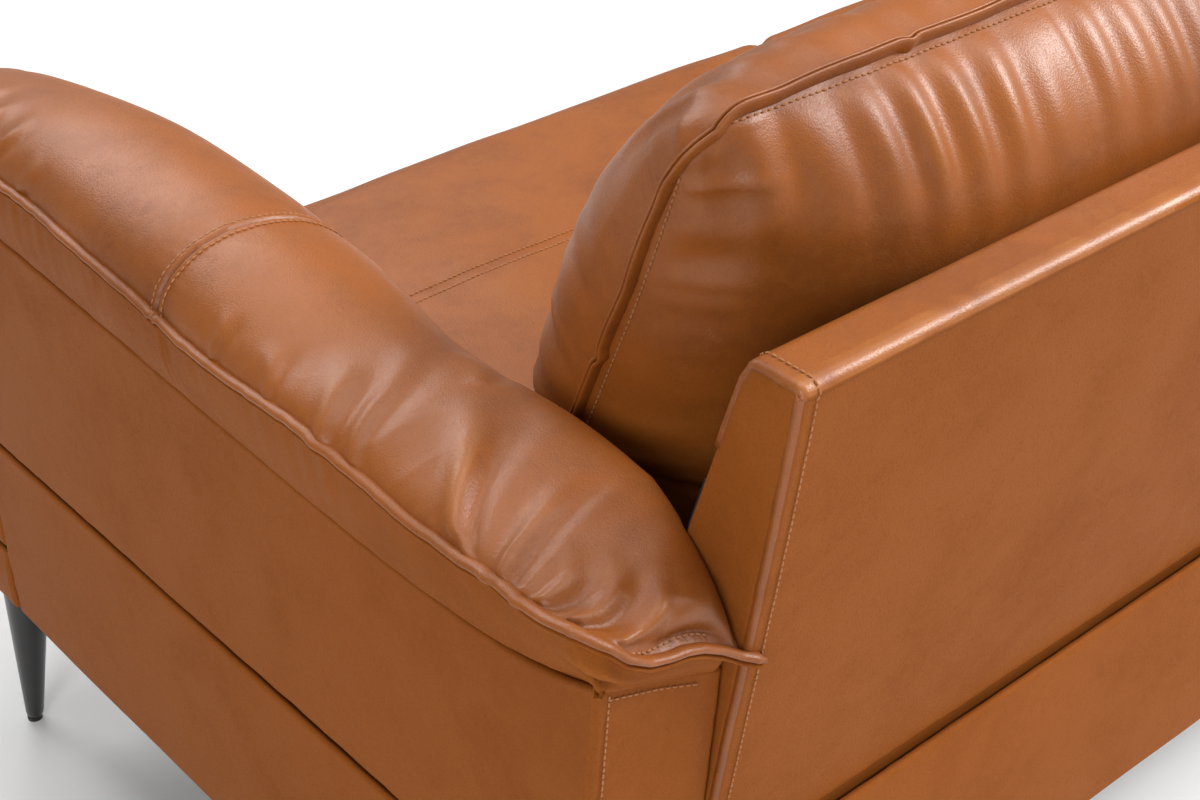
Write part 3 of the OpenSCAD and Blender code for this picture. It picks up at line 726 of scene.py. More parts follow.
def pad_folds(t, v):
    """How far the pad's skin rises in its folds, in millimetres, and a fold value that lightens the ridges
    (partly pull-up, partly painted highlight) and darkens the creases and the tuck as painted shade.
    """
    slack = 0.35 + 0.65 * np.maximum(step(t, 620, 760), step(-t, -330, -200))
    near_welt = bump_at(v, 0.10, 0.17) + 0.35 * bump_at(v, CROWN_V, 0.25)
    lean = t + 55 * v
    wide = noise2(lean / 46, v * 1.6, 3)
    narrow = noise2(lean / 21, v * 2.2, 5)
    ridge = wide - 0.55 * np.abs(noise2(lean / 30, v * 1.2, 8)) ** 0.7 + 0.25
    rise = slack * near_welt * (2.6 * ridge + 0.9 * narrow)
    rise = rise + 1.6 * noise2(t / 120, v * 2.4, 11)
    pucker = noise2(t / 9.5, v * 3, 17) * np.exp(-v / 0.035) * 0.8
    off = np.abs(t - PAD_SEAM_T)
    seam = 1.1 * bump_at(off, 3.4, 1.7) - 1.6 * bump_at(off, 0, 1.3) - 1.6 * bump_at(off, 0, 26)
    gather = noise2(v * 42, t / 30, 23) * 0.8 * bump_at(t, PAD_SEAM_T, 16)
    ridges = 0 * t
    for t0, v0, t1, v1, half, height in PAD_FOLDS:
        ridges = ridges + one_fold(t, v, (t0, v0 * PAD_GIRTH), (t1, v1 * PAD_GIRTH), half) * height
    middle = np.exp(-((v - 0.47) / 0.22) ** 4)
    tuck = (5.5 * bump_at(t, 4, 10) - 7.0 * bump_at(t, -13, 6)) * middle
    crinkle = noise2(v * 70, t / 8, 29) * middle * bump_at(t, -14, 6)
    return (rise + pucker + seam + gather + ridges + tuck + crinkle,
            0.16 * rise + pucker + 0.4 * seam + 0.18 * ridges + 0.08 * tuck + crinkle)


def one_fold(t, v, start, end, half):
    """A ridge with a hollow along one side, from start to end, as a height of at most 1."""
    run = np.array(end, float) - start
    length = np.linalg.norm(run)
    run = run / length
    far_t, far_v = t - start[0], v * PAD_GIRTH - start[1]
    along = (far_t * run[0] + far_v * run[1]) / length
    aside = far_v * run[0] - far_t * run[1] + half * 0.5 * np.sin(along * 4.0)
    width = half * (1.5 - 0.8 * np.clip(along, 0, 1))
    fade = step(along, -0.25, 0.35) * step(-along, -1.12, -0.95)
    return (bump_at(aside, 0, width) - 0.55 * bump_at(aside, -1.7 * width, width)) * fade


def make_arm_pad(side):
    grid, t, v = pad_skin()
    rise, fold = pad_folds(t, v)
    # Nothing moves where the skin is held: at the inner foot and along the rear welt
    held = np.clip((1 - v) / 0.12, 0, 1) * np.clip((t + 19) / 8, 0, 1)
    grid = grid + facing(grid, (0, 0, 1)) * (rise * held)[..., None]
    # The skin's fold value also darkens a strip along the welt, as painted shade beside the seam.
    skin = shell("skin", grid, LEATHER, side, (0, 0, 1), HIDE_T, fold - 1.1 * np.exp(-v / 0.03))
    welt = evenly(np.concatenate([grid[:, 0], grid[-1, 1:], EAR]), WELT_STEP)
    upper, lower = welt_lips(welt)
    piece = join("arm_pad_" + side_name(side), [
        skin, pipe("lip", *upper, LEATHER, side, flat=0.62)])
    shown(piece, "frame", "arm_pad_" + side_name(side))
    boxing = make_boxing(welt, side)
    under = pipe("under_lip", *lower, LEATHER_SHADED_FOR_SIDES, side, flat=0.55)
    shown(join("arm_boxing_" + side_name(side), [boxing, under]), "frame")
    rows = grid.shape[0]
    cols = np.linspace(2, 88, 90)
    for off in (-5.5, 5.5):
        row = np.interp(-(PAD_SEAM_T + off), -t[:, 0], np.arange(rows))
        sewn("frame", evenly(on_grid(grid, row, cols, 0.4, (0, 0, 1)), STITCH_STEP), side)
    tail = on_grid(grid, np.full(60, rows - 4.0), np.linspace(8, 62, 60), 0.5, (0, 0, 1))
    sewn("frame", evenly(tail, STITCH_STEP), side)


def make_arm_foam(side):
    """The foam that fills the pad, smaller all round than the pad's skin."""
    t = np.linspace(TOP_END - 10, TAIL_T + 20, 60)
    v = np.linspace(0, 1, 40)
    tt, vv = np.meshgrid(t, v, indexing="ij")
    x, n = pad_section(tt, vv)
    x, n = -62 + (x + 62) * 0.78, n * 0.76
    foot = spine(tt)[0]
    skin = np.stack([x, foot[..., 0], foot[..., 1] + n + 1], -1)
    base_x = (np.linspace(1, 0, 14)[1:-1] * (x[:, :1] - x[:, -1:]) + x[:, -1:])[:, ::-1]
    base = np.stack([base_x, foot[:, :12, 0], foot[:, :12, 1] + 1], -1)
    shown(loft("arm_foam_" + side_name(side), np.concatenate([skin, base], 1), FOAM, side), "frame",
          "arm_foam_" + side_name(side), slot="foam")


def welt_lips(welt):
    """The paths and radii of the two leather edges that stand out along a welt."""
    run = np.arange(len(welt)) * WELT_STEP
    wander = np.stack([0 * run, noise2(run / 60, 0, 31), noise2(run / 35, 4, 32)], -1)
    outwards = np.cross(np.gradient(welt, axis=0), (0, 0, 1.0))
    outwards /= np.linalg.norm(outwards, axis=1, keepdims=True)
    if outwards[len(outwards) // 3, 0] < 0:
        outwards = -outwards
    swell = 1 + 0.10 * noise2(run / 14, 2, 33)
    taper = np.clip((run[-1] - run) / 5, 0.55, 1)
    kink = sum(bump_at(welt[:, 1], y, 3.5) for y in (-64, -37))[:, None]
    upper = welt + outwards * (1.6 + 1.6 * kink) + (0, 0, 1.0) + wander * 0.4
    lower = welt + outwards * (1.3 - 1.0 * kink) + (0, 0, -4.2) + wander * 0.4
    return (upper, 4.5 * swell * taper), (lower, 3.3 * swell * taper)


def make_boxing(welt, side):
    """The strip between the arm's outer panel and the welt, gathered round the rear corner."""
    corner = np.argmin(np.abs(welt[:, 1] - 8) + np.abs(welt[:, 0] - 12))
    top = welt[: np.argmin(np.abs(welt[:, 0] + 84))] - (0, 0, 5.5)
    seam_z = through(-top[:, 1], SEAM_Z)
    low = top.copy()
    side_part = np.arange(len(top)) <= corner
    low[side_part, 0] = 0
    low[side_part, 2] = np.minimum(seam_z, top[:, 2] - 6)[side_part]
    front = (top[:, 2] < seam_z + 10) & side_part
    low[front] = top[front] - (4, 0, 0) + (0, 6, 0)
    rear = ~side_part
    low[rear, 0] = np.minimum(top[rear, 0], -1)
    low[rear, 2] = np.minimum(SEAM_H + HEM_SLOPE * low[rear, 0], top[rear, 2] - 5)
    low[rear, 1] = arm_rear(low[rear, 2]) + 0.5
    low[side_part, 1] = np.minimum(low[side_part, 1], arm_rear(SEAM_H) - 1)
    s = np.linspace(0, 1, 26)[None, :, None]
    grid = low[:, None] * (1 - s) + top[:, None] * s
    run = (np.arange(len(top)) * WELT_STEP)[:, None]
    height = s[:, :, 0]
    bulge = 3.0 * np.sin(height * math.pi)
    # How far along from the rear corner, and the open mouth of the pleat just past it
    beyond = run - corner * WELT_STEP
    mouth = 3.4 * bump_at(height, 0.62, 0.16) - 5.0 * bump_at(height, 0.34, 0.13)
    pleat = noise2(run / 11, height * 1.5, 41) * 2.6 * bump_at(beyond, 0, 45) * height
    pleat = pleat + bump_at(beyond, 14, 24) * mouth
    grid = grid + facing(grid, (1, 0, 0)) * (bulge + pleat)[..., None]
    grid, fold = rolled(grid, 3.0, (1, 0, 0), (0, 0, 1, 1), 0.4, 43)
    # The pleat's ridges are lightened and its hollows darkened through the fold value, as painted highlight
    # and shade.
    return shell("boxing", grid, LEATHER_SHADED_FOR_SIDES, side, (1, 0, 0), 2.0, fold + pleat * 0.3)


# ---------------------------------------------------------------- arm boxes

ARM_FRONT = -BASE_D
ARM_FOOT_H = BAND_H + GROOVE
SEAM_H = BOARD_H - 15.0
# The rear panel's top edge falls inwards, where the panel also swells out towards the back
HEM_SLOPE = 0.38


def rear_swell(x):
    return 4.5 * step(-x, 40, ARM_W)


def make_arm_cover(side):
    """Outer, rear and front panels, the inner one beside the back, and the tape behind the outer seam."""
    z = spread(0, 1, 0.04, 0.05, 0.007)
    u = spread(0, 1, 0.012, 0.016, 0.002)
    uu, zz = np.meshgrid(u, z, indexing="ij")
    zz = ARM_FOOT_H + (through(-ARM_FRONT * (1 - uu), SEAM_Z) + 0.6 - ARM_FOOT_H) * zz
    y = ARM_FRONT + (arm_rear(zz) - ARM_FRONT) * uu
    outer = eased(np.stack([0 * y, y, zz], -1), (1, 0, 0), 0.9, 150.0, 51)
    outer, outer_fold = rolled(outer, 4.0, (1, 0, 0), seed=52)
    x = spread(-ARM_W, 0, 5, 10)
    xx, share = np.meshgrid(x, spread(0, 1, 0.02, 0.03, 0.004), indexing="ij")
    zz = ARM_FOOT_H + (SEAM_H + 4 + HEM_SLOPE * xx - ARM_FOOT_H) * share
    rear = np.stack([xx, arm_rear(zz) + rear_swell(xx), zz], -1)
    rear = eased(rear, (0, 1, 0), 1.0, 70.0, 53)
    rear, rear_fold = rolled(rear, 4.0, (0, 1, 0), seed=54)
    seam_y = np.linspace(ARM_FRONT + 8, arm_rear(SEAM_H) - 3, 160)
    tape_y, rise = np.meshgrid(seam_y, (-12, -6, 0, 5, 9), indexing="ij")
    tape = np.stack([0 * rise - 3.6, tape_y, through(-tape_y, SEAM_Z) + rise], -1)
    inner_z = spread(DECK_H + 4, BOARD_H - 46, 7)
    inner_share, inner_z = np.meshgrid(np.linspace(0, 1, 50), inner_z, indexing="ij")
    inner_front = back_front(inner_z) - 60
    inner_rear = np.maximum(arm_rear(np.maximum(inner_z, ARM_FOOT_H)) - 2, inner_front + 1)
    inner_y = inner_front + (inner_rear - inner_front) * inner_share
    inner = np.stack([0 * inner_z - ARM_W + 0.4, inner_y, inner_z], -1)
    front = np.stack([xx, 0 * xx + ARM_FRONT, ARM_FOOT_H + (BOARD_H - 20 - ARM_FOOT_H) * share], -1)
    front, front_fold = rolled(front, 4.0, (0, -1, 0), seed=55)
    shown(join("arm_cover_" + side_name(side), [
        shell("outer", outer, LEATHER_SHADED_FOR_SIDES, side, (1, 0, 0), HIDE_T, outer_fold),
        shell("rear", rear, LEATHER_SHADED_FOR_SIDES, side, (0, 1, 0), HIDE_T, rear_fold),
        shell("inner", inner, LEATHER_SHADED_FOR_SIDES, side, (-1, 0, 0), 2.0),
        shell("tape", tape, LEATHER_SHADED_FOR_SIDES, side, (1, 0, 0), 1.2),
        shell("front", front, LEATHER_SHADED_FOR_SIDES, side, (0, -1, 0), HIDE_T, front_fold)]),
        "frame", "arm_cover_" + side_name(side))
    seam_z = np.arange(ARM_FOOT_H + 4, BOARD_H - 22, STITCH_STEP)
    sewn("frame", np.stack([0 * seam_z - 9, arm_rear(seam_z) + 0.7, seam_z], -1), side)
    seam_x = np.arange(-72, -8, STITCH_STEP)
    hem_z = SEAM_H - 5 + HEM_SLOPE * seam_x
    hem_y = arm_rear(hem_z) + rear_swell(seam_x) + 0.9
    sewn("frame", np.stack([seam_x, hem_y, hem_z], -1), side)


def make_arm_facing(side):
    """The padded inside of the arm, cut to the back's slope."""
    z = spread(DECK_H + 1, BOARD_H + 2, 9)
    u = spread(0, 1, 0.014, 0.02, 0.0025)
    uu, zz = np.meshgrid(u, z, indexing="ij")
    rear = back_front(zz) - 5
    y = ARM_FRONT + 1 + (rear - ARM_FRONT - 1) * uu
    grid = np.stack([0 * y - ARM_INNER, y, zz], -1)
    grid = eased(grid, (-1, 0, 0), 1.2, 120.0, 61)
    grid, fold = rolled(grid, 8.0, (-1, 0, 0), seed=62)
    piece = shell("arm_facing_" + side_name(side), grid, LEATHER, side, (-1, 0, 0), 14.0, fold)
    shown(piece, "frame", "arm_facing_" + side_name(side))


# ---------------------------------------------------------------- bands round the base

CORNER_R = 35.0
CORNER_WRAP = 74.0


# Offsets outwards and heights of the leather that turns in under the base
TURNED_UNDER = [(-31, 0.6), (-21, 0.4), (-11, 0.2), (-6, 0.4), (-3, 1.2)]


def band(name, path, outwards, low, high, side, seed, edges=(1, 1, 1, 1)):
    """A padded strip of leather along a plan path of (x, y) points, with the way out from each.

    A strip that starts at the foot is turned in under the base.
    """
    path, outwards = np.asarray(path, float), np.asarray(outwards, float)
    if low < 1:
        rows = TURNED_UNDER + [(0, low + 3)] + [(0, z) for z in spread(low + 4, high, 6)]
    else:
        rows = [(0, z) for z in spread(low, high, 6)]
    rows = np.array(rows)
    grid = np.zeros((len(path), len(rows), 3))
    grid[..., :2] = path[:, None] + outwards[:, None] * rows[None, :, :1]
    grid[..., 2] = rows[None, :, 1]
    puff = 2.2 * np.clip(np.sin(math.pi * (rows[:, 1] - low) / (high - low)), 0, 1) ** 0.6
    grid[..., :2] += outwards[:, None] * puff[None, :, None]
    middle = (*outwards[len(path) // 2], 0)
    grid = eased(grid, middle, 0.8, 130.0, seed)
    grid, fold = rolled(grid, 4.5, middle, edges, 0.5, seed + 1)
    return shell(name, grid, LEATHER_SHADED_FOR_SIDES, side, middle, HIDE_T, fold)


def round_corner(outer_x, y, x):
    """A plan path along y beside the arm, round its front corner, then along x, and the ways out from it."""
    turn = np.linspace(0, math.pi / 2, 16)
    bend_out = np.stack([np.cos(turn), -np.sin(turn)], -1)
    bend = np.array((outer_x - CORNER_R, -BASE_D + CORNER_R)) + CORNER_R * bend_out
    path = np.concatenate([np.stack([0 * y + outer_x, y], -1), bend, np.stack([x, 0 * x - BASE_D], -1)])
    out = np.concatenate([np.tile((1.0, 0.0), (len(y), 1)), bend_out, np.tile((0.0, -1.0), (len(x), 1))])
    return path, out


def make_side_band(side):
    y = spread(-BASE_D + CORNER_WRAP + 0.5, -0.5, 9)
    path = np.stack([0 * y, y], -1)
    main = band("main", path, np.tile((1.0, 0.0), (len(y), 1)), 0, BAND_H, side, 71, (1, 1, 0, 1))
    # Above the front band's return the same leather runs on round the front corner
    y = np.arange(-BASE_D + CORNER_WRAP, -BASE_D + CORNER_R + 2, -5.0)
    path, out = round_corner(0, y, np.arange(-CORNER_R - 5, -ARM_W, -6.0))
    upper = band("upper", path, out, FRONT_BAND_H + GROOVE, BAND_H, side, 73)
    shown(join("side_band_" + side_name(side), [main, upper]), "frame", "side_band_" + side_name(side))


def make_front_band():
    y = np.arange(-BASE_D + CORNER_WRAP, -BASE_D + CORNER_R + 2, -4.0)
    path, out = round_corner(HALF_W, y, np.arange(HALF_W - CORNER_R - 8, 0, -10.0))
    flip = np.array((-1.0, 1.0))
    path = np.concatenate([path, [(0, -BASE_D)], path[::-1] * flip])
    out = np.concatenate([out, [(0, -1)], out[::-1] * flip])
    shown(band("front_band", path, out, 0, FRONT_BAND_H, MIDDLE, 75), "frame", "front_band")


def make_rear_band():
    x = spread(-HALF_W, HALF_W, 10)
    path = np.stack([x, 0 * x], -1)
    piece = band("rear_band", path, np.tile((0.0, 1.0), (len(x), 1)), 0, BAND_H, MIDDLE, 77)
    shown(piece, "frame", "rear_band")


def make_groove_tape():
    """Leather behind the groove between the panels and the bands, all round, coloured dark all over as
    painted shade in the groove.
    """
    z = np.linspace(BAND_H - 9, BAND_H + 9, 5)
    y = np.linspace(-BASE_D + 12, -7, 90)
    x = np.linspace(HALF_W - 8, -HALF_W + 8, 180)[1:-1]
    plan = np.concatenate([np.stack([0 * y + HALF_W - 6, y], -1), np.stack([x, 0 * x - 9], -1),
                           np.stack([0 * y - HALF_W + 6, y[::-1]], -1)])
    grid = np.zeros((len(plan), len(z), 3))
    grid[..., :2] = plan[:, None]
    grid[..., 2] = z
    fold = np.full(grid.shape[:2], -1.2)
    shown(shell("groove_tape", grid, LEATHER_SHADED_FOR_SIDES, MIDDLE, (0, 1, 0), 1.5, fold), "frame")


# ---------------------------------------------------------------- back

EDGE_R = 9.0
TOP_REAR_R = 8.0


def back_profile():
    """The cover's outline from the foot of the rear face, over the top, to inside the front."""
    foot = BACK_FOOT_H
    lean_r, lean_f = math.atan(BACK_REAR_LEAN), math.atan(BACK_FRONT_LEAN)
    z = spread(foot, BACK_H - TOP_REAR_R, 7, 12, 2)
    rear = np.stack([back_rear(z), z], -1)
    a = np.linspace(-lean_r, math.pi / 2, 9)[1:]
    pivot = np.array((back_rear(BACK_H) - TOP_REAR_R, BACK_H - TOP_REAR_R))
    rear_edge = pivot + TOP_REAR_R * np.stack([np.cos(a), np.sin(a)], -1)
    y = np.linspace(rear_edge[-1, 0] - 3, back_front(BACK_H) + EDGE_R + 1, 8)
    top = np.stack([y, 0 * y + BACK_H], -1)
    a = np.linspace(math.pi / 2, math.pi - lean_f, 8)
    pivot = np.array((back_front(BACK_H) + EDGE_R, BACK_H - EDGE_R))
    front_edge = pivot + EDGE_R * np.stack([np.cos(a), np.sin(a)], -1)
    z = np.arange(BACK_H - EDGE_R - 6, BACK_H - 70, -7.0)
    front = np.stack([back_front(z), z], -1)
    return np.concatenate([rear, rear_edge, top, front_edge, front])


def make_back_cover():
    profile = back_profile()
    x = spread(-BACK_HALF_W, BACK_HALF_W, 9)
    grid = np.zeros((len(x), len(profile), 3))
    grid[..., 0] = x[:, None]
    grid[..., 1:] = profile[None]
    grid = eased(grid, (0, 1, 0), 1.1, 170.0, 81)
    low = profile[:, 1] < BACK_H - 14
    swell = np.where(low, np.sin(math.pi * (profile[:, 1] - BACK_FOOT_H) / (BACK_H - BACK_FOOT_H)), 0) * 1.5
    grid[..., 1] += swell[None] * (profile[:, 0] > back_front(profile[:, 1]) + 12)[None]
    grid, fold = rolled(grid, 5.0, (0, 1, 0), (1, 1, 1, 0), 0.5, 82)
    # A painted highlight along the rounded rear top edge, lighter in patches.
    top_edge = bump_at(profile[:, 1], BACK_H - 3, 5) * (profile[:, 0] > back_rear(BACK_H) - 12)
    edge_highlight = top_edge[None] * (1.1 + 1.2 * noise2(x[:, None] / 12, profile[None, :, 1] / 5, 86))
    main = shell("main", grid, LEATHER, MIDDLE, (0, 1, 0), HIDE_T, fold + edge_highlight)
    # The faces turned to the rear take the duller, less glossy copy of the leather used on the arms' sides,
    # as painted shading for how they are lit.
    main.data.materials.append(LEATHER_SHADED_FOR_SIDES)
    for face in main.data.polygons:
        face.material_index = int(face.normal.y > 0.93)
    columns = np.arange(3, len(profile) - 6, 0.5)
    for seam_x in (-BACK_HALF_W + 12, BACK_HALF_W - 12):
        row = np.interp(seam_x, x, np.arange(len(x)))
        sewn("frame", evenly(on_grid(grid, row, columns, 0.5, (0, 1, 0)), STITCH_STEP))
    ends = []
    for end in (-1, 1):
        s = spread(0, 1, 0.1, 0.2, 0.04)
        z = spread(BACK_FOOT_H, BACK_H, 7)
        ss, zz = np.meshgrid(s, z, indexing="ij")
        rear, front = back_rear(zz), back_front(zz)
        corner = np.clip((zz - (BACK_H - 12)) / 12, 0, 1)
        inset = 12 * (1 - np.sqrt(1 - corner ** 2)) + 1.5
        y = front + inset + (rear - front - 2 * inset) * ss
        face = np.stack([0 * y + end * (BACK_HALF_W - 0.5), y, zz - 1.5], -1)
        face, end_fold = rolled(face, 3.5, (end, 0, 0), seed=84)
        ends.append(shell("end", face, LEATHER_SHADED_FOR_SIDES, MIDDLE, (end, 0, 0), HIDE_T, end_fold))
    shown(join("back_cover", [main] + ends), "frame", "back_cover")


def make_back_lining():
    """The cloth over the back's webbing, slack between its tacked edges."""
    x = np.linspace(-BACK_HALF_W + 14, BACK_HALF_W - 14, 150)
    z = np.linspace(DECK_H + 2, BACK_H - 12, 60)
    xx, zz = np.meshgrid(x, z, indexing="ij")
    slack = np.sin(math.pi * (zz - DECK_H) / (BACK_H - DECK_H)) * 1.2 + noise2(xx / 60, zz / 45, 91) * 1.0
    grid = np.stack([xx, back_front(zz) - 2.0 + np.abs(slack) * 0.8, zz], -1)
    shown(shell("back_lining", grid, LINING, MIDDLE, (0, -1, 0), 0.8), "frame", "back_lining", slot="lining")


# ---------------------------------------------------------------- seat

def make_seat_deck():
    """Quilted cloth on the springs, with a leather border along the front."""
    low, high = node_box("seat_deck")
    x = np.linspace(low[0], high[0], 190)
    y = np.linspace(low[1] + 70, high[1], 90) - REAR_Y
    xx, yy = np.meshgrid(x, y, indexing="ij")
    quilt = np.abs(np.sin(math.pi * (xx + yy) / 90)) * np.abs(np.sin(math.pi * (xx - yy) / 90))
    grid = np.stack([xx, yy, DECK_H - 3.5 + 3.0 * quilt ** 0.5], -1)
    shown(shell("seat_deck", grid, LINING, MIDDLE, (0, 0, 1), 4.0), "frame", "seat_deck", slot="lining")
    edge = [(4, FRONT_BAND_H - 8), (3, FRONT_BAND_H - 1), (4, DECK_H - 8), (7, DECK_H - 3.5),
            (12, DECK_H - 1)]
    edge += [(y, DECK_H - 0.6) for y in np.linspace(20, 84, 10)]
    edge = np.array(edge) - (BASE_D, 0)
    x = spread(low[0] + 2, high[0] - 2, 9)
    grid = np.zeros((len(x), len(edge), 3))
    grid[..., 0] = x[:, None]
    grid[..., 1:] = edge[None]
    grid, fold = rolled(grid, 3.0, (0, -0.3, 1), seed=95)
    shown(shell("deck_border", grid, LEATHER, MIDDLE, (0, -0.3, 1), HIDE_T, fold), "frame")
    for off in (0, 9):
        sewn("frame", np.stack([x, 0 * x - BASE_D + 70 + off, 0 * x + DECK_H + 0.1], -1))


def ring_profile(points, radii, spacing):
    """A closed outline with rounded corners, as evenly spaced (y, z) points."""
    out = []
    for i, (p, r) in enumerate(zip(points, radii)):
        before, after = np.array(points[i - 1], float), np.array(points[(i + 1) % len(points)], float)
        p = np.array(p, float)
        a, b = (before - p) / np.linalg.norm(before - p), (after - p) / np.linalg.norm(after - p)
        for s in np.linspace(0, 1, 9):
            out.append((1 - s) ** 2 * (p + a * r) + 2 * s * (1 - s) * p + s * s * (p + b * r))
    out = np.array(out + [out[0]])
    run = np.concatenate([[0], np.cumsum(np.linalg.norm(np.diff(out, axis=0), axis=1))])
    at = np.linspace(0, run[-1], int(run[-1] / spacing), endpoint=False)
    return np.stack([np.interp(at, run, out[:, k]) for k in range(2)], -1)


SEAT_SEAM_Y = -579.0


def seat_rings(inset=0.0):
    """A seat cushion's skin: rings across x, each a rounded side view."""
    low, high = SEAT_LOW[0] + 1, SEAT_HIGH[0] - 1
    y0, z0, z1 = SEAT_LOW[1] - REAR_Y, SEAT_LOW[2] - BASE_Z, SEAT_HIGH[2] - BASE_Z
    corners = [(y0, z0), (y0 - 2, z1 - 6), (back_front(z1) - 9, z1 - 6), (back_front(z0) - 9, z0)]
    outline = ring_profile(corners, (14, 34, 40, 14), 6.0)
    middle = np.array(((y0 - 60) / 2, (z0 + z1) / 2))
    x = spread(low + inset, high - inset, 7, 24, 2)
    corner = 20.0
    near_end = np.clip(corner - np.minimum(x - low, high - x), 0, corner)
    pulled = corner - np.sqrt(np.maximum(corner ** 2 - near_end ** 2, 0)) + inset
    size = np.array((abs(y0) / 2, (z1 - z0) / 2))
    rings = middle + (outline - middle) * (1 - pulled[:, None, None] * 0.8 / size)
    grid = np.zeros((len(x), len(outline), 3))
    grid[..., 0] = x[:, None]
    grid[..., 1:] = rings
    a = (x - (low + high) / 2) / ((high - low) / 2)
    b = np.clip((outline[:, 0] - y0) / (-120 - y0) * 2 - 1, -1, 1)
    on_top = step(outline[:, 1], (z0 + z1) / 2 + 20, z1 - 4)
    crown = 9 * (1 - a ** 4)[:, None] * (1 - b ** 4)[None] * on_top[None]
    grid[..., 2] += crown
    up_front = np.clip((outline[:, 1] - z0) / (z1 - z0), 0, 1)
    front = step(-outline[:, 0], -y0 - 20, -y0) * np.sin(up_front * math.pi)
    grid[..., 1] -= 6 * front[None] * (1 - a ** 6)[:, None]
    return grid, on_top


def make_seat_cushion(side):
    name = "seat_cushion_" + side_name(side)
    grid, on_top = seat_rings()
    top = on_top[None] > 0.6
    seam = bump_at(grid[..., 1], SEAT_SEAM_Y, 5) * top
    rise = billow(grid / 140, 101) * 2.0 + billow(grid / 55, 102) * 0.6 - 1.0 * seam
    loose = np.exp(-(np.abs(grid[..., 1] - SEAT_SEAM_Y) / 30))
    rise = rise + noise2(grid[..., 0] / 16, grid[..., 1] / 50, 103) * 0.7 * loose * top
    normal = ring_normals(grid)
    grid = grid + normal * rise[..., None]
    piece = loft(name, flipped(grid, side), LEATHER)
    # The points that close the two ends have no fold. Elsewhere the fold darkens the cross seam as painted
    # shade.
    end_points = len(piece.data.vertices) - rise.size
    set_fold(piece, np.concatenate([(rise * 0.25 - seam * 0.2).ravel(), np.zeros(end_points)]))
    shown(piece, side_body("seat", side), name)
    x = grid[6:-6, 0, 0]
    upper = np.argmin(np.abs(grid[len(grid) // 2, :, 1] - SEAT_SEAM_Y) + 500 * (on_top < 0.6))
    seam_x = np.interp(x, grid[:, 0, 0], grid[:, upper, 0])
    for y in (SEAT_SEAM_Y - 6.5, SEAT_SEAM_Y + 6.5):
        path = np.stack([seam_x, 0 * x + y, surface_z(grid, x, y, on_top) + 0.5], -1)
        sewn(side_body("seat", side), evenly(flipped(path, side), STITCH_STEP))
    foam = seat_rings(7.0)[0]
    shown(loft("seat_foam_" + side_name(side), flipped(foam, side), FOAM), side_body("seat", side),
          "seat_foam_" + side_name(side), slot="foam")


def surface_z(grid, x, y, on_top):
    """Height of a cushion's top at x and y."""
    top = np.where(on_top > 0.6)[0]
    heights = []
    for each in x:
        ring = grid[np.argmin(np.abs(grid[:, 0, 0] - each))][top]
        order = np.argsort(ring[:, 1])
        heights.append(np.interp(y, ring[order, 1], ring[order, 2]))
    return np.array(heights)


def ring_normals(grid):
    """Outward unit normals of a grid whose columns close into rings."""
    wide = np.concatenate([grid[:, -1:], grid, grid[:, :1]], 1)
    n = normals_of(wide)[:, 1:-1]
    middle = grid.mean(1, keepdims=True)
    if ((grid - middle) * n).sum() < 0:
        n = -n
    return n


def flipped(points, side):
    """Points drawn for the right half, as they lie on either side."""
    return np.asarray(points, float) * (side, 1, 1)


def side_body(row, side):
    """The moving body of a cushion in the seat or the back."""
    return "%s_%s_cushion" % (row, side_name(side))


# ---------------------------------------------------------------- back cushions
# b runs from 1 at the top seam down to -1 at the foot, and a from -1 to 1 across. Knots are (b, y, z).

TOP_SEAM = (-57.0, 684.0)
SIDE_SEAM = ((-1, -165, 292), (-0.7, -186, 345), (-0.35, -172, 420), (0, -150, 475), (0.4, -113, 560),
             (0.75, -78, 640), (1, *TOP_SEAM))
REAR_SKIN = ((-1, -150, 290), (-0.97, -118, 289), (-0.9, -92, 296), (-0.5, -60, 372), (0, -22, 482),
             (0.45, 6, 578), (0.6, 3, 612), (0.75, -11, 642), (0.9, -36, 671), (1, *TOP_SEAM))
FRONT_SKIN = ((-1, -180, 290), (-0.95, -232, 290), (-0.85, -258, 308), (-0.5, -267, 372), (-0.2, -257, 452),
              (0.2, -228, 545), (0.5, -186, 614), (0.75, -130, 670), (0.9, -88, 692), (1, *TOP_SEAM))
LIP_W = 12.0
LIP_STEP = 3.0
LOW_SEAM_B = -0.42
# The lips start at this b on the side seams
LIP_FOOT_B = -0.72


def profile_at(b, knots):
    """y and z read at b."""
    return np.stack([through(b, [(k[0], k[i]) for k in knots]) for i in (1, 2)], -1)


def cushion_half(skin, across, down, boxy=5):
    """One side of the cushion, from its edge seam out to its full depth, as a grid."""
    a, b = np.meshgrid(across, down, indexing="ij")
    low, high = CUSHION_LOW[0] + LIP_W, CUSHION_HIGH[0] - 3
    half, centre = (high - low) / 2, (high + low) / 2
    full, edge = profile_at(b, skin), profile_at(b, SIDE_SEAM)
    plump = np.clip(1 - np.abs(a) ** boxy, 0, 1) ** 0.6
    yz = edge + (full - edge) * plump[..., None]
    waist = 5 * (1 - b ** 2) * np.abs(a) ** 3
    corner = 16 * np.clip((b - 0.86) / 0.14, 0, 1) ** 2.2
    x = centre + a * (half - corner * np.abs(a) ** 8) - np.sign(a) * waist
    drop = 9 * np.clip((np.abs(a) - 0.94) / 0.06, 0, 1) ** 2 * np.clip((b - 0.8) / 0.2, 0, 1)
    yz[..., 1] -= drop
    return np.concatenate([x[..., None], yz], -1), a, b


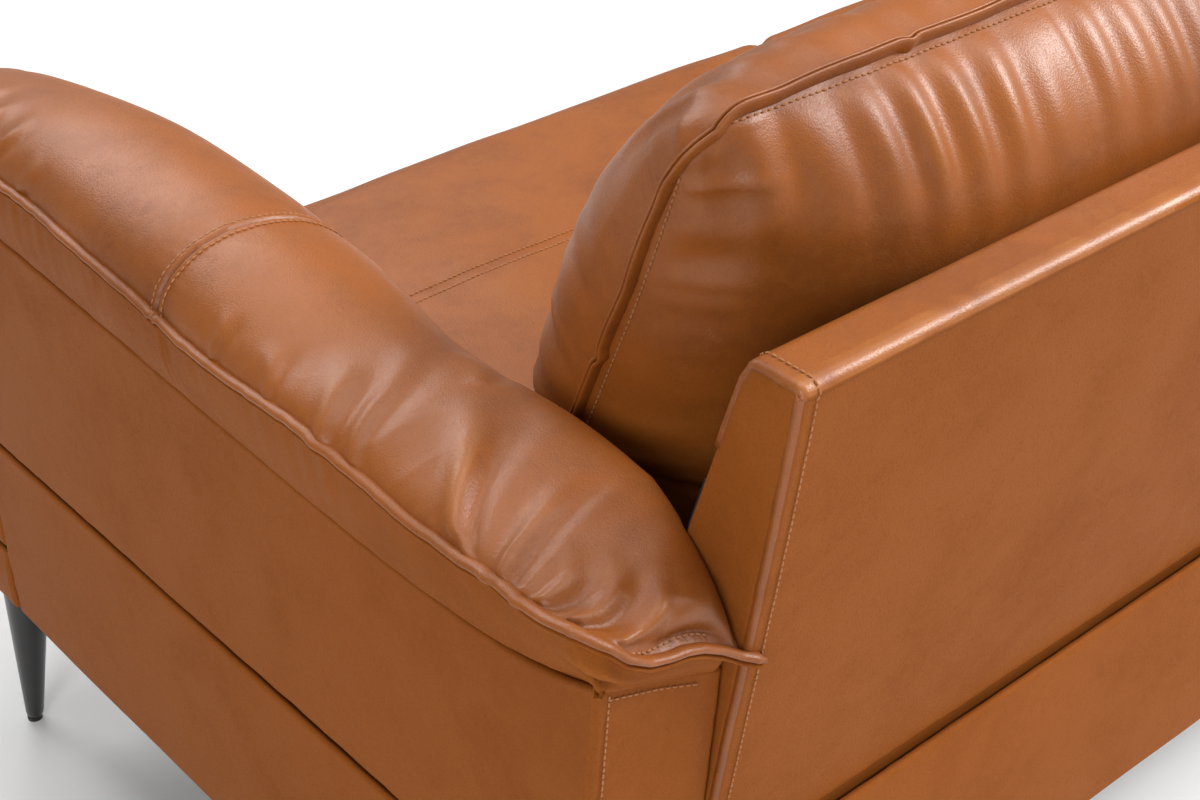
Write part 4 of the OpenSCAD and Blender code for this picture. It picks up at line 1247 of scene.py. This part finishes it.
def cushion_creases(a, b, seed, slack):
    """The gathers under the cushion's top seam and along its sides."""
    from_top, from_side = 1 - b, 1 - np.abs(a)
    ridge = 1 - np.abs(noise2(a * 17 + 0.6 * noise2(b * 3, a * 2, seed), b * 1.3, seed + 1)) * 2.2
    teeth = np.cos(2 * math.pi * (a * 11 + 0.5 * noise2(a * 7, b * 1.5, seed + 5)))
    uneven = 0.65 + 0.7 * noise2(a * 5, 1, seed + 6)
    gathers = (ridge * 1.6 + teeth * uneven * 2.6) * bump_at(from_top, 0.24, 0.19)
    side_ridge = 1 - np.abs(noise2(b * 11, a * 3, seed + 2)) * 2.2
    side = side_ridge * bump_at(from_side, 0.05, 0.06) * 2.0
    fine = noise2(a * 60, b * 5, seed + 3) * np.exp(-from_top / 0.05) * 0.9
    slow = noise2(a * 3.2, b * 2.4, seed + 4) * 3.0
    low_seam = bump_at(b, LOW_SEAM_B + 0.18 * np.abs(a) ** 6, 0.018)
    held = np.clip(from_top / 0.06, 0, 1) * np.clip(from_side / 0.02, 0, 1) * np.clip((b + 1) / 0.1, 0, 1)
    return (slack * (gathers + side + slow) + fine) * held - 3.0 * low_seam * held, low_seam


def flange(name, path, out, over, width, thick, material, side):
    """A flat leather lip along a seam: out is the way it stands, over the way across its thickness."""
    turn = np.linspace(0, 2 * math.pi, 12, endpoint=False)
    reach, rise = np.cos(turn), np.sin(turn)
    reach = np.sign(reach) * np.abs(reach) ** 0.6
    rings = (path[:, None] + out[:, None] * ((reach * 0.5 + 0.32)[None, :, None] * width[:, None, None])
             + over[:, None] * (rise[None, :, None] * thick))
    return loft(name, flipped(rings, side), material)


def cushion_lips(rear, start, side):
    """The two leather lips along the top and side seams, the sides from column start of the rear skin."""
    rows, cols = rear.shape[:2]
    seam = np.concatenate([rear[0, start:], rear[1:-1, -1], rear[-1, start:][::-1]])
    seam = evenly(seam, LIP_STEP)
    run = np.arange(len(seam)) * LIP_STEP
    centre = rear[rows // 2, cols // 2]
    tangent = np.gradient(seam, axis=0)
    tangent /= np.linalg.norm(tangent, axis=1, keepdims=True)
    lean = np.array((0, 0.915, -0.404))
    out = np.cross(tangent, lean)
    out /= np.linalg.norm(out, axis=1, keepdims=True)
    out *= np.sign(((seam - centre) * out).sum(1))[:, None]
    over_way = np.cross(out, tangent)
    over_way *= np.sign((over_way * lean).sum(1))[:, None]
    wave = noise2(run / 55, 1, 131) * 1.8 + noise2(run / 17, 2, 132) * 0.6
    down_side = 3.0 * (cols - start)
    kinks = (run[-1] - 0.55 * down_side, run[-1] - 1.6 * down_side, 0.5 * down_side)
    wave = wave + sum(2.4 * bump_at(run, at, 5) for at in kinks)
    near_end = np.clip(np.minimum(run, run[-1] - run) / 20, 0.2, 1)
    width = LIP_W * (1 + 0.12 * noise2(run / 30, 3, 133)) * near_end
    lips = []
    for off, share, thick in ((1.7, 0.86, 1.5), (-1.6, 0.74, 1.3)):
        path = seam + over_way * (wave + off)[:, None]
        lips.append(flange("lip", path, out, over_way, width * share, thick, LEATHER, side))
    return lips


def make_back_fill(side):
    """The fibre inside the cushion, drawn in from both skins."""
    a, b = np.linspace(-0.97, 0.97, 60), np.linspace(-0.97, 0.93, 40)
    skins = [cushion_half(skin, a, b)[0] for skin in (REAR_SKIN, FRONT_SKIN)]
    core = (skins[0] + skins[1]) / 2
    middle = np.array(((CUSHION_LOW[0] + CUSHION_HIGH[0]) / 2, 0, 470))
    rear, front = [middle + (core + (skin - core) * 0.7 - middle) * (0.9, 1, 0.88) for skin in skins]
    ring = np.concatenate([rear, front[:, ::-1]], 1)
    name = "back_fill_" + side_name(side)
    shown(loft(name, flipped(ring, side), FIBRE), side_body("back", side), name, slot="fibre")


def make_back_cushion(side):
    name = "back_cushion_" + side_name(side)
    body = side_body("back", side)
    across = np.sin(np.linspace(-1, 1, 281) * math.pi / 2)
    down = np.sin(np.linspace(-1, 1, 131) * math.pi / 2) * 0.4 + np.linspace(-1, 1, 131) * 0.6
    halves, folds = [], []
    for skin, seed, slack, out, boxy in ((REAR_SKIN, 111, 1.0, (0, 1, 0.3), 5),
                                         (FRONT_SKIN, 121, 1.2, (0, -1, 0.3), 11)):
        grid, a, b = cushion_half(skin, across, down, boxy)
        rise, seam = cushion_creases(a, b, seed, slack)
        halves.append(grid + facing(grid, out) * rise[..., None])
        # Painted shade darkens the low seam and the skin just under the top seam, and the gathers' rises are
        # lightened a little.
        folds.append(rise * 0.14 - seam * 1.2 - 1.0 * np.exp(-np.minimum(1 - b, 1.0) / 0.012))
    rows, cols = halves[0].shape[:2]
    index = np.arange(rows * cols).reshape(rows, cols)
    points = placed(flipped(np.concatenate([h.reshape(-1, 3) for h in halves]), side), MIDDLE)
    pillow = mesh_from("pillow", points, quads(index) + quads(index + rows * cols), LEATHER)
    set_fold(pillow, np.concatenate([f.ravel() for f in folds]))
    closed(pillow)
    rear = halves[0]
    start = np.argmin(np.abs(down - LIP_FOOT_B))
    piece = join(name, [pillow] + cushion_lips(rear, start, side))
    shown(piece, body, name)
    # Stitches inside the lips: up one side, across under the top seam and down the other side
    run_up, run_down = np.arange(start, cols - 4), np.arange(cols - 5, start - 1, -1)
    run_across = np.arange(7.0, rows - 7)
    stitch_rows = np.concatenate([0 * run_up + 6.5, run_across, 0 * run_down + rows - 7.5])
    stitch_cols = np.concatenate([run_up, 0 * run_across + cols - 4.5, run_down])
    inner = on_grid(rear, stitch_rows, stitch_cols, 0.5, (0, 1, 0))
    sewn(body, flipped(evenly(inner, STITCH_STEP), side))
    make_back_fill(side)


def closed(piece):
    """Joins the two sides of a piece along their shared seam."""
    shape = bmesh.new()
    shape.from_mesh(piece.data)
    bmesh.ops.remove_doubles(shape, verts=shape.verts, dist=0.0002)
    bmesh.ops.recalc_face_normals(shape, faces=shape.faces)
    shape.to_mesh(piece.data)
    shape.free()


# ---------------------------------------------------------------- legs

LEG_TOP_R = 20.5
LEG_FOOT_R = 8.0
LEG_TIP = 8.0
LEG_LEAN = math.tan(math.radians(4))


def make_leg(end, side):
    """A turned, tapering leg that leans out both ways, with a rounded foot."""
    node = "leg_%s_%s" % (end, side_name(side))
    low, high = node_box(node)
    length = high[2] - low[2]
    tip_turn = np.linspace(0, math.pi / 2, 9)[1:]
    shank = length - LEG_TIP
    drop = np.concatenate([[0, 0.6, 2, 5], np.linspace(9, shank, 40), shank + LEG_TIP * np.sin(tip_turn)])
    radius = LEG_TOP_R + (LEG_FOOT_R - LEG_TOP_R) * drop / length
    radius -= 1.2 * np.exp(-drop / 1.2)
    tip = np.clip((drop - shank) / LEG_TIP, 0, 1)
    radius *= np.sqrt(1 - 0.35 * tip ** 2.5)
    middle = (low + high) / 2
    ways = np.array((side, -1 if end == "front" else 1))
    turn = np.linspace(0, 2 * math.pi, 48, endpoint=False)
    rings = np.zeros((len(drop), len(turn), 3))
    for i, way in enumerate(ways):
        rings[..., i] = middle[i] + way * LEG_LEAN * drop[:, None]
    rings[..., 0] += radius[:, None] * np.cos(turn)
    rings[..., 1] += radius[:, None] * np.sin(turn)
    rings[..., 2] = high[2] - drop[:, None]
    rings -= (0, REAR_Y, BASE_Z)
    shown(loft(node, rings, BLACK_WOOD), "frame", node, slot="black_wood")


# ---------------------------------------------------------------- making everything

for side in (LEFT, RIGHT):
    make_arm_pad(side)
    make_arm_foam(side)
    make_arm_cover(side)
    make_arm_facing(side)
    make_side_band(side)
    make_seat_cushion(side)
    make_back_cushion(side)
    for end in ("front", "rear"):
        make_leg(end, side)
make_front_band()
make_rear_band()
make_groove_tape()
make_back_cover()
make_back_lining()
make_seat_deck()
make_stitches(THREAD)

FINISHES = {
    HARDWOOD: ("front_rail", "rear_rail", "side_rail_left", "side_rail_right", "centre_rail",
               "spring_batten", "corner_blocks", "arm_posts_left", "arm_posts_right", "back_posts",
               "back_top_rail", "back_lower_rail"),
    PLYWOOD: ("arm_outer_panel_left", "arm_outer_panel_right", "arm_inner_panel_left",
              "arm_inner_panel_right", "arm_board_left", "arm_board_right", "back_panel"),
    STEEL: ("leg_plates", "leg_studs", "plate_screws", "seat_springs", "spring_clips", "back_bolts",
            "arm_bolts"),
    BLACK_CLOTH: ("dust_cover", "back_webbing"),
    GLIDE: ("leg_glides",),
}
for material, nodes in FINISHES.items():
    for node in nodes:
        mesh = bpy.data.objects[node].data
        mesh.materials.clear()
        mesh.materials.append(material)


# ---------------------------------------------------------------- floor and light

scene = bpy.context.scene
scene.view_settings.view_transform = "Standard"

floor = bpy.data.meshes.new("floor")
floor.from_pydata([(-9, -9, 0), (9, -9, 0), (9, 9, 0), (-9, 9, 0)], [], [(0, 1, 2, 3)])
pale = bpy.data.materials.new("pale_floor")
pale.use_nodes = True
pale_shader = pale.node_tree.nodes["Principled BSDF"].inputs
pale_shader["Base Color"].default_value = (0.86, 0.86, 0.86, 1)
pale_shader["Roughness"].default_value = 0.9
floor.materials.append(pale)
new_object("floor", floor)

world = bpy.data.worlds.new("studio")
scene.world = world
world.use_nodes = True
sky = world.node_tree.nodes["Background"].inputs
sky["Color"].default_value = (1, 1, 1, 1)
sky["Strength"].default_value = 0.27


def softbox(name, place, aim, width, height, power):
    """A large soft light at a place, turned towards a point."""
    light = bpy.data.lights.new(name, "AREA")
    light.shape = "RECTANGLE"
    light.size, light.size_y = width, height
    light.energy = power
    lamp = bpy.data.objects.new(name, light)
    scene.collection.objects.link(lamp)
    lamp.location = place
    lamp.rotation_euler = (Vector(aim) - Vector(place)).to_track_quat("-Z", "Y").to_euler()


softbox("overhead", (0.2, 0.2, 3.2), (0.2, 0, 0.4), 3.0, 2.2, 56)
softbox("window_side", (-2.4, 2.1, 3.0), (0.3, 0.2, 0.7), 1.5, 1.3, 190)
softbox("front_side", (0.4, -2.6, 2.6), (0.7, 0, 0.5), 2.4, 1.2, 48)
softbox("rear_side", (3.8, 2.2, 2.0), (0.6, 0.3, 0.5), 1.6, 1.6, 66)
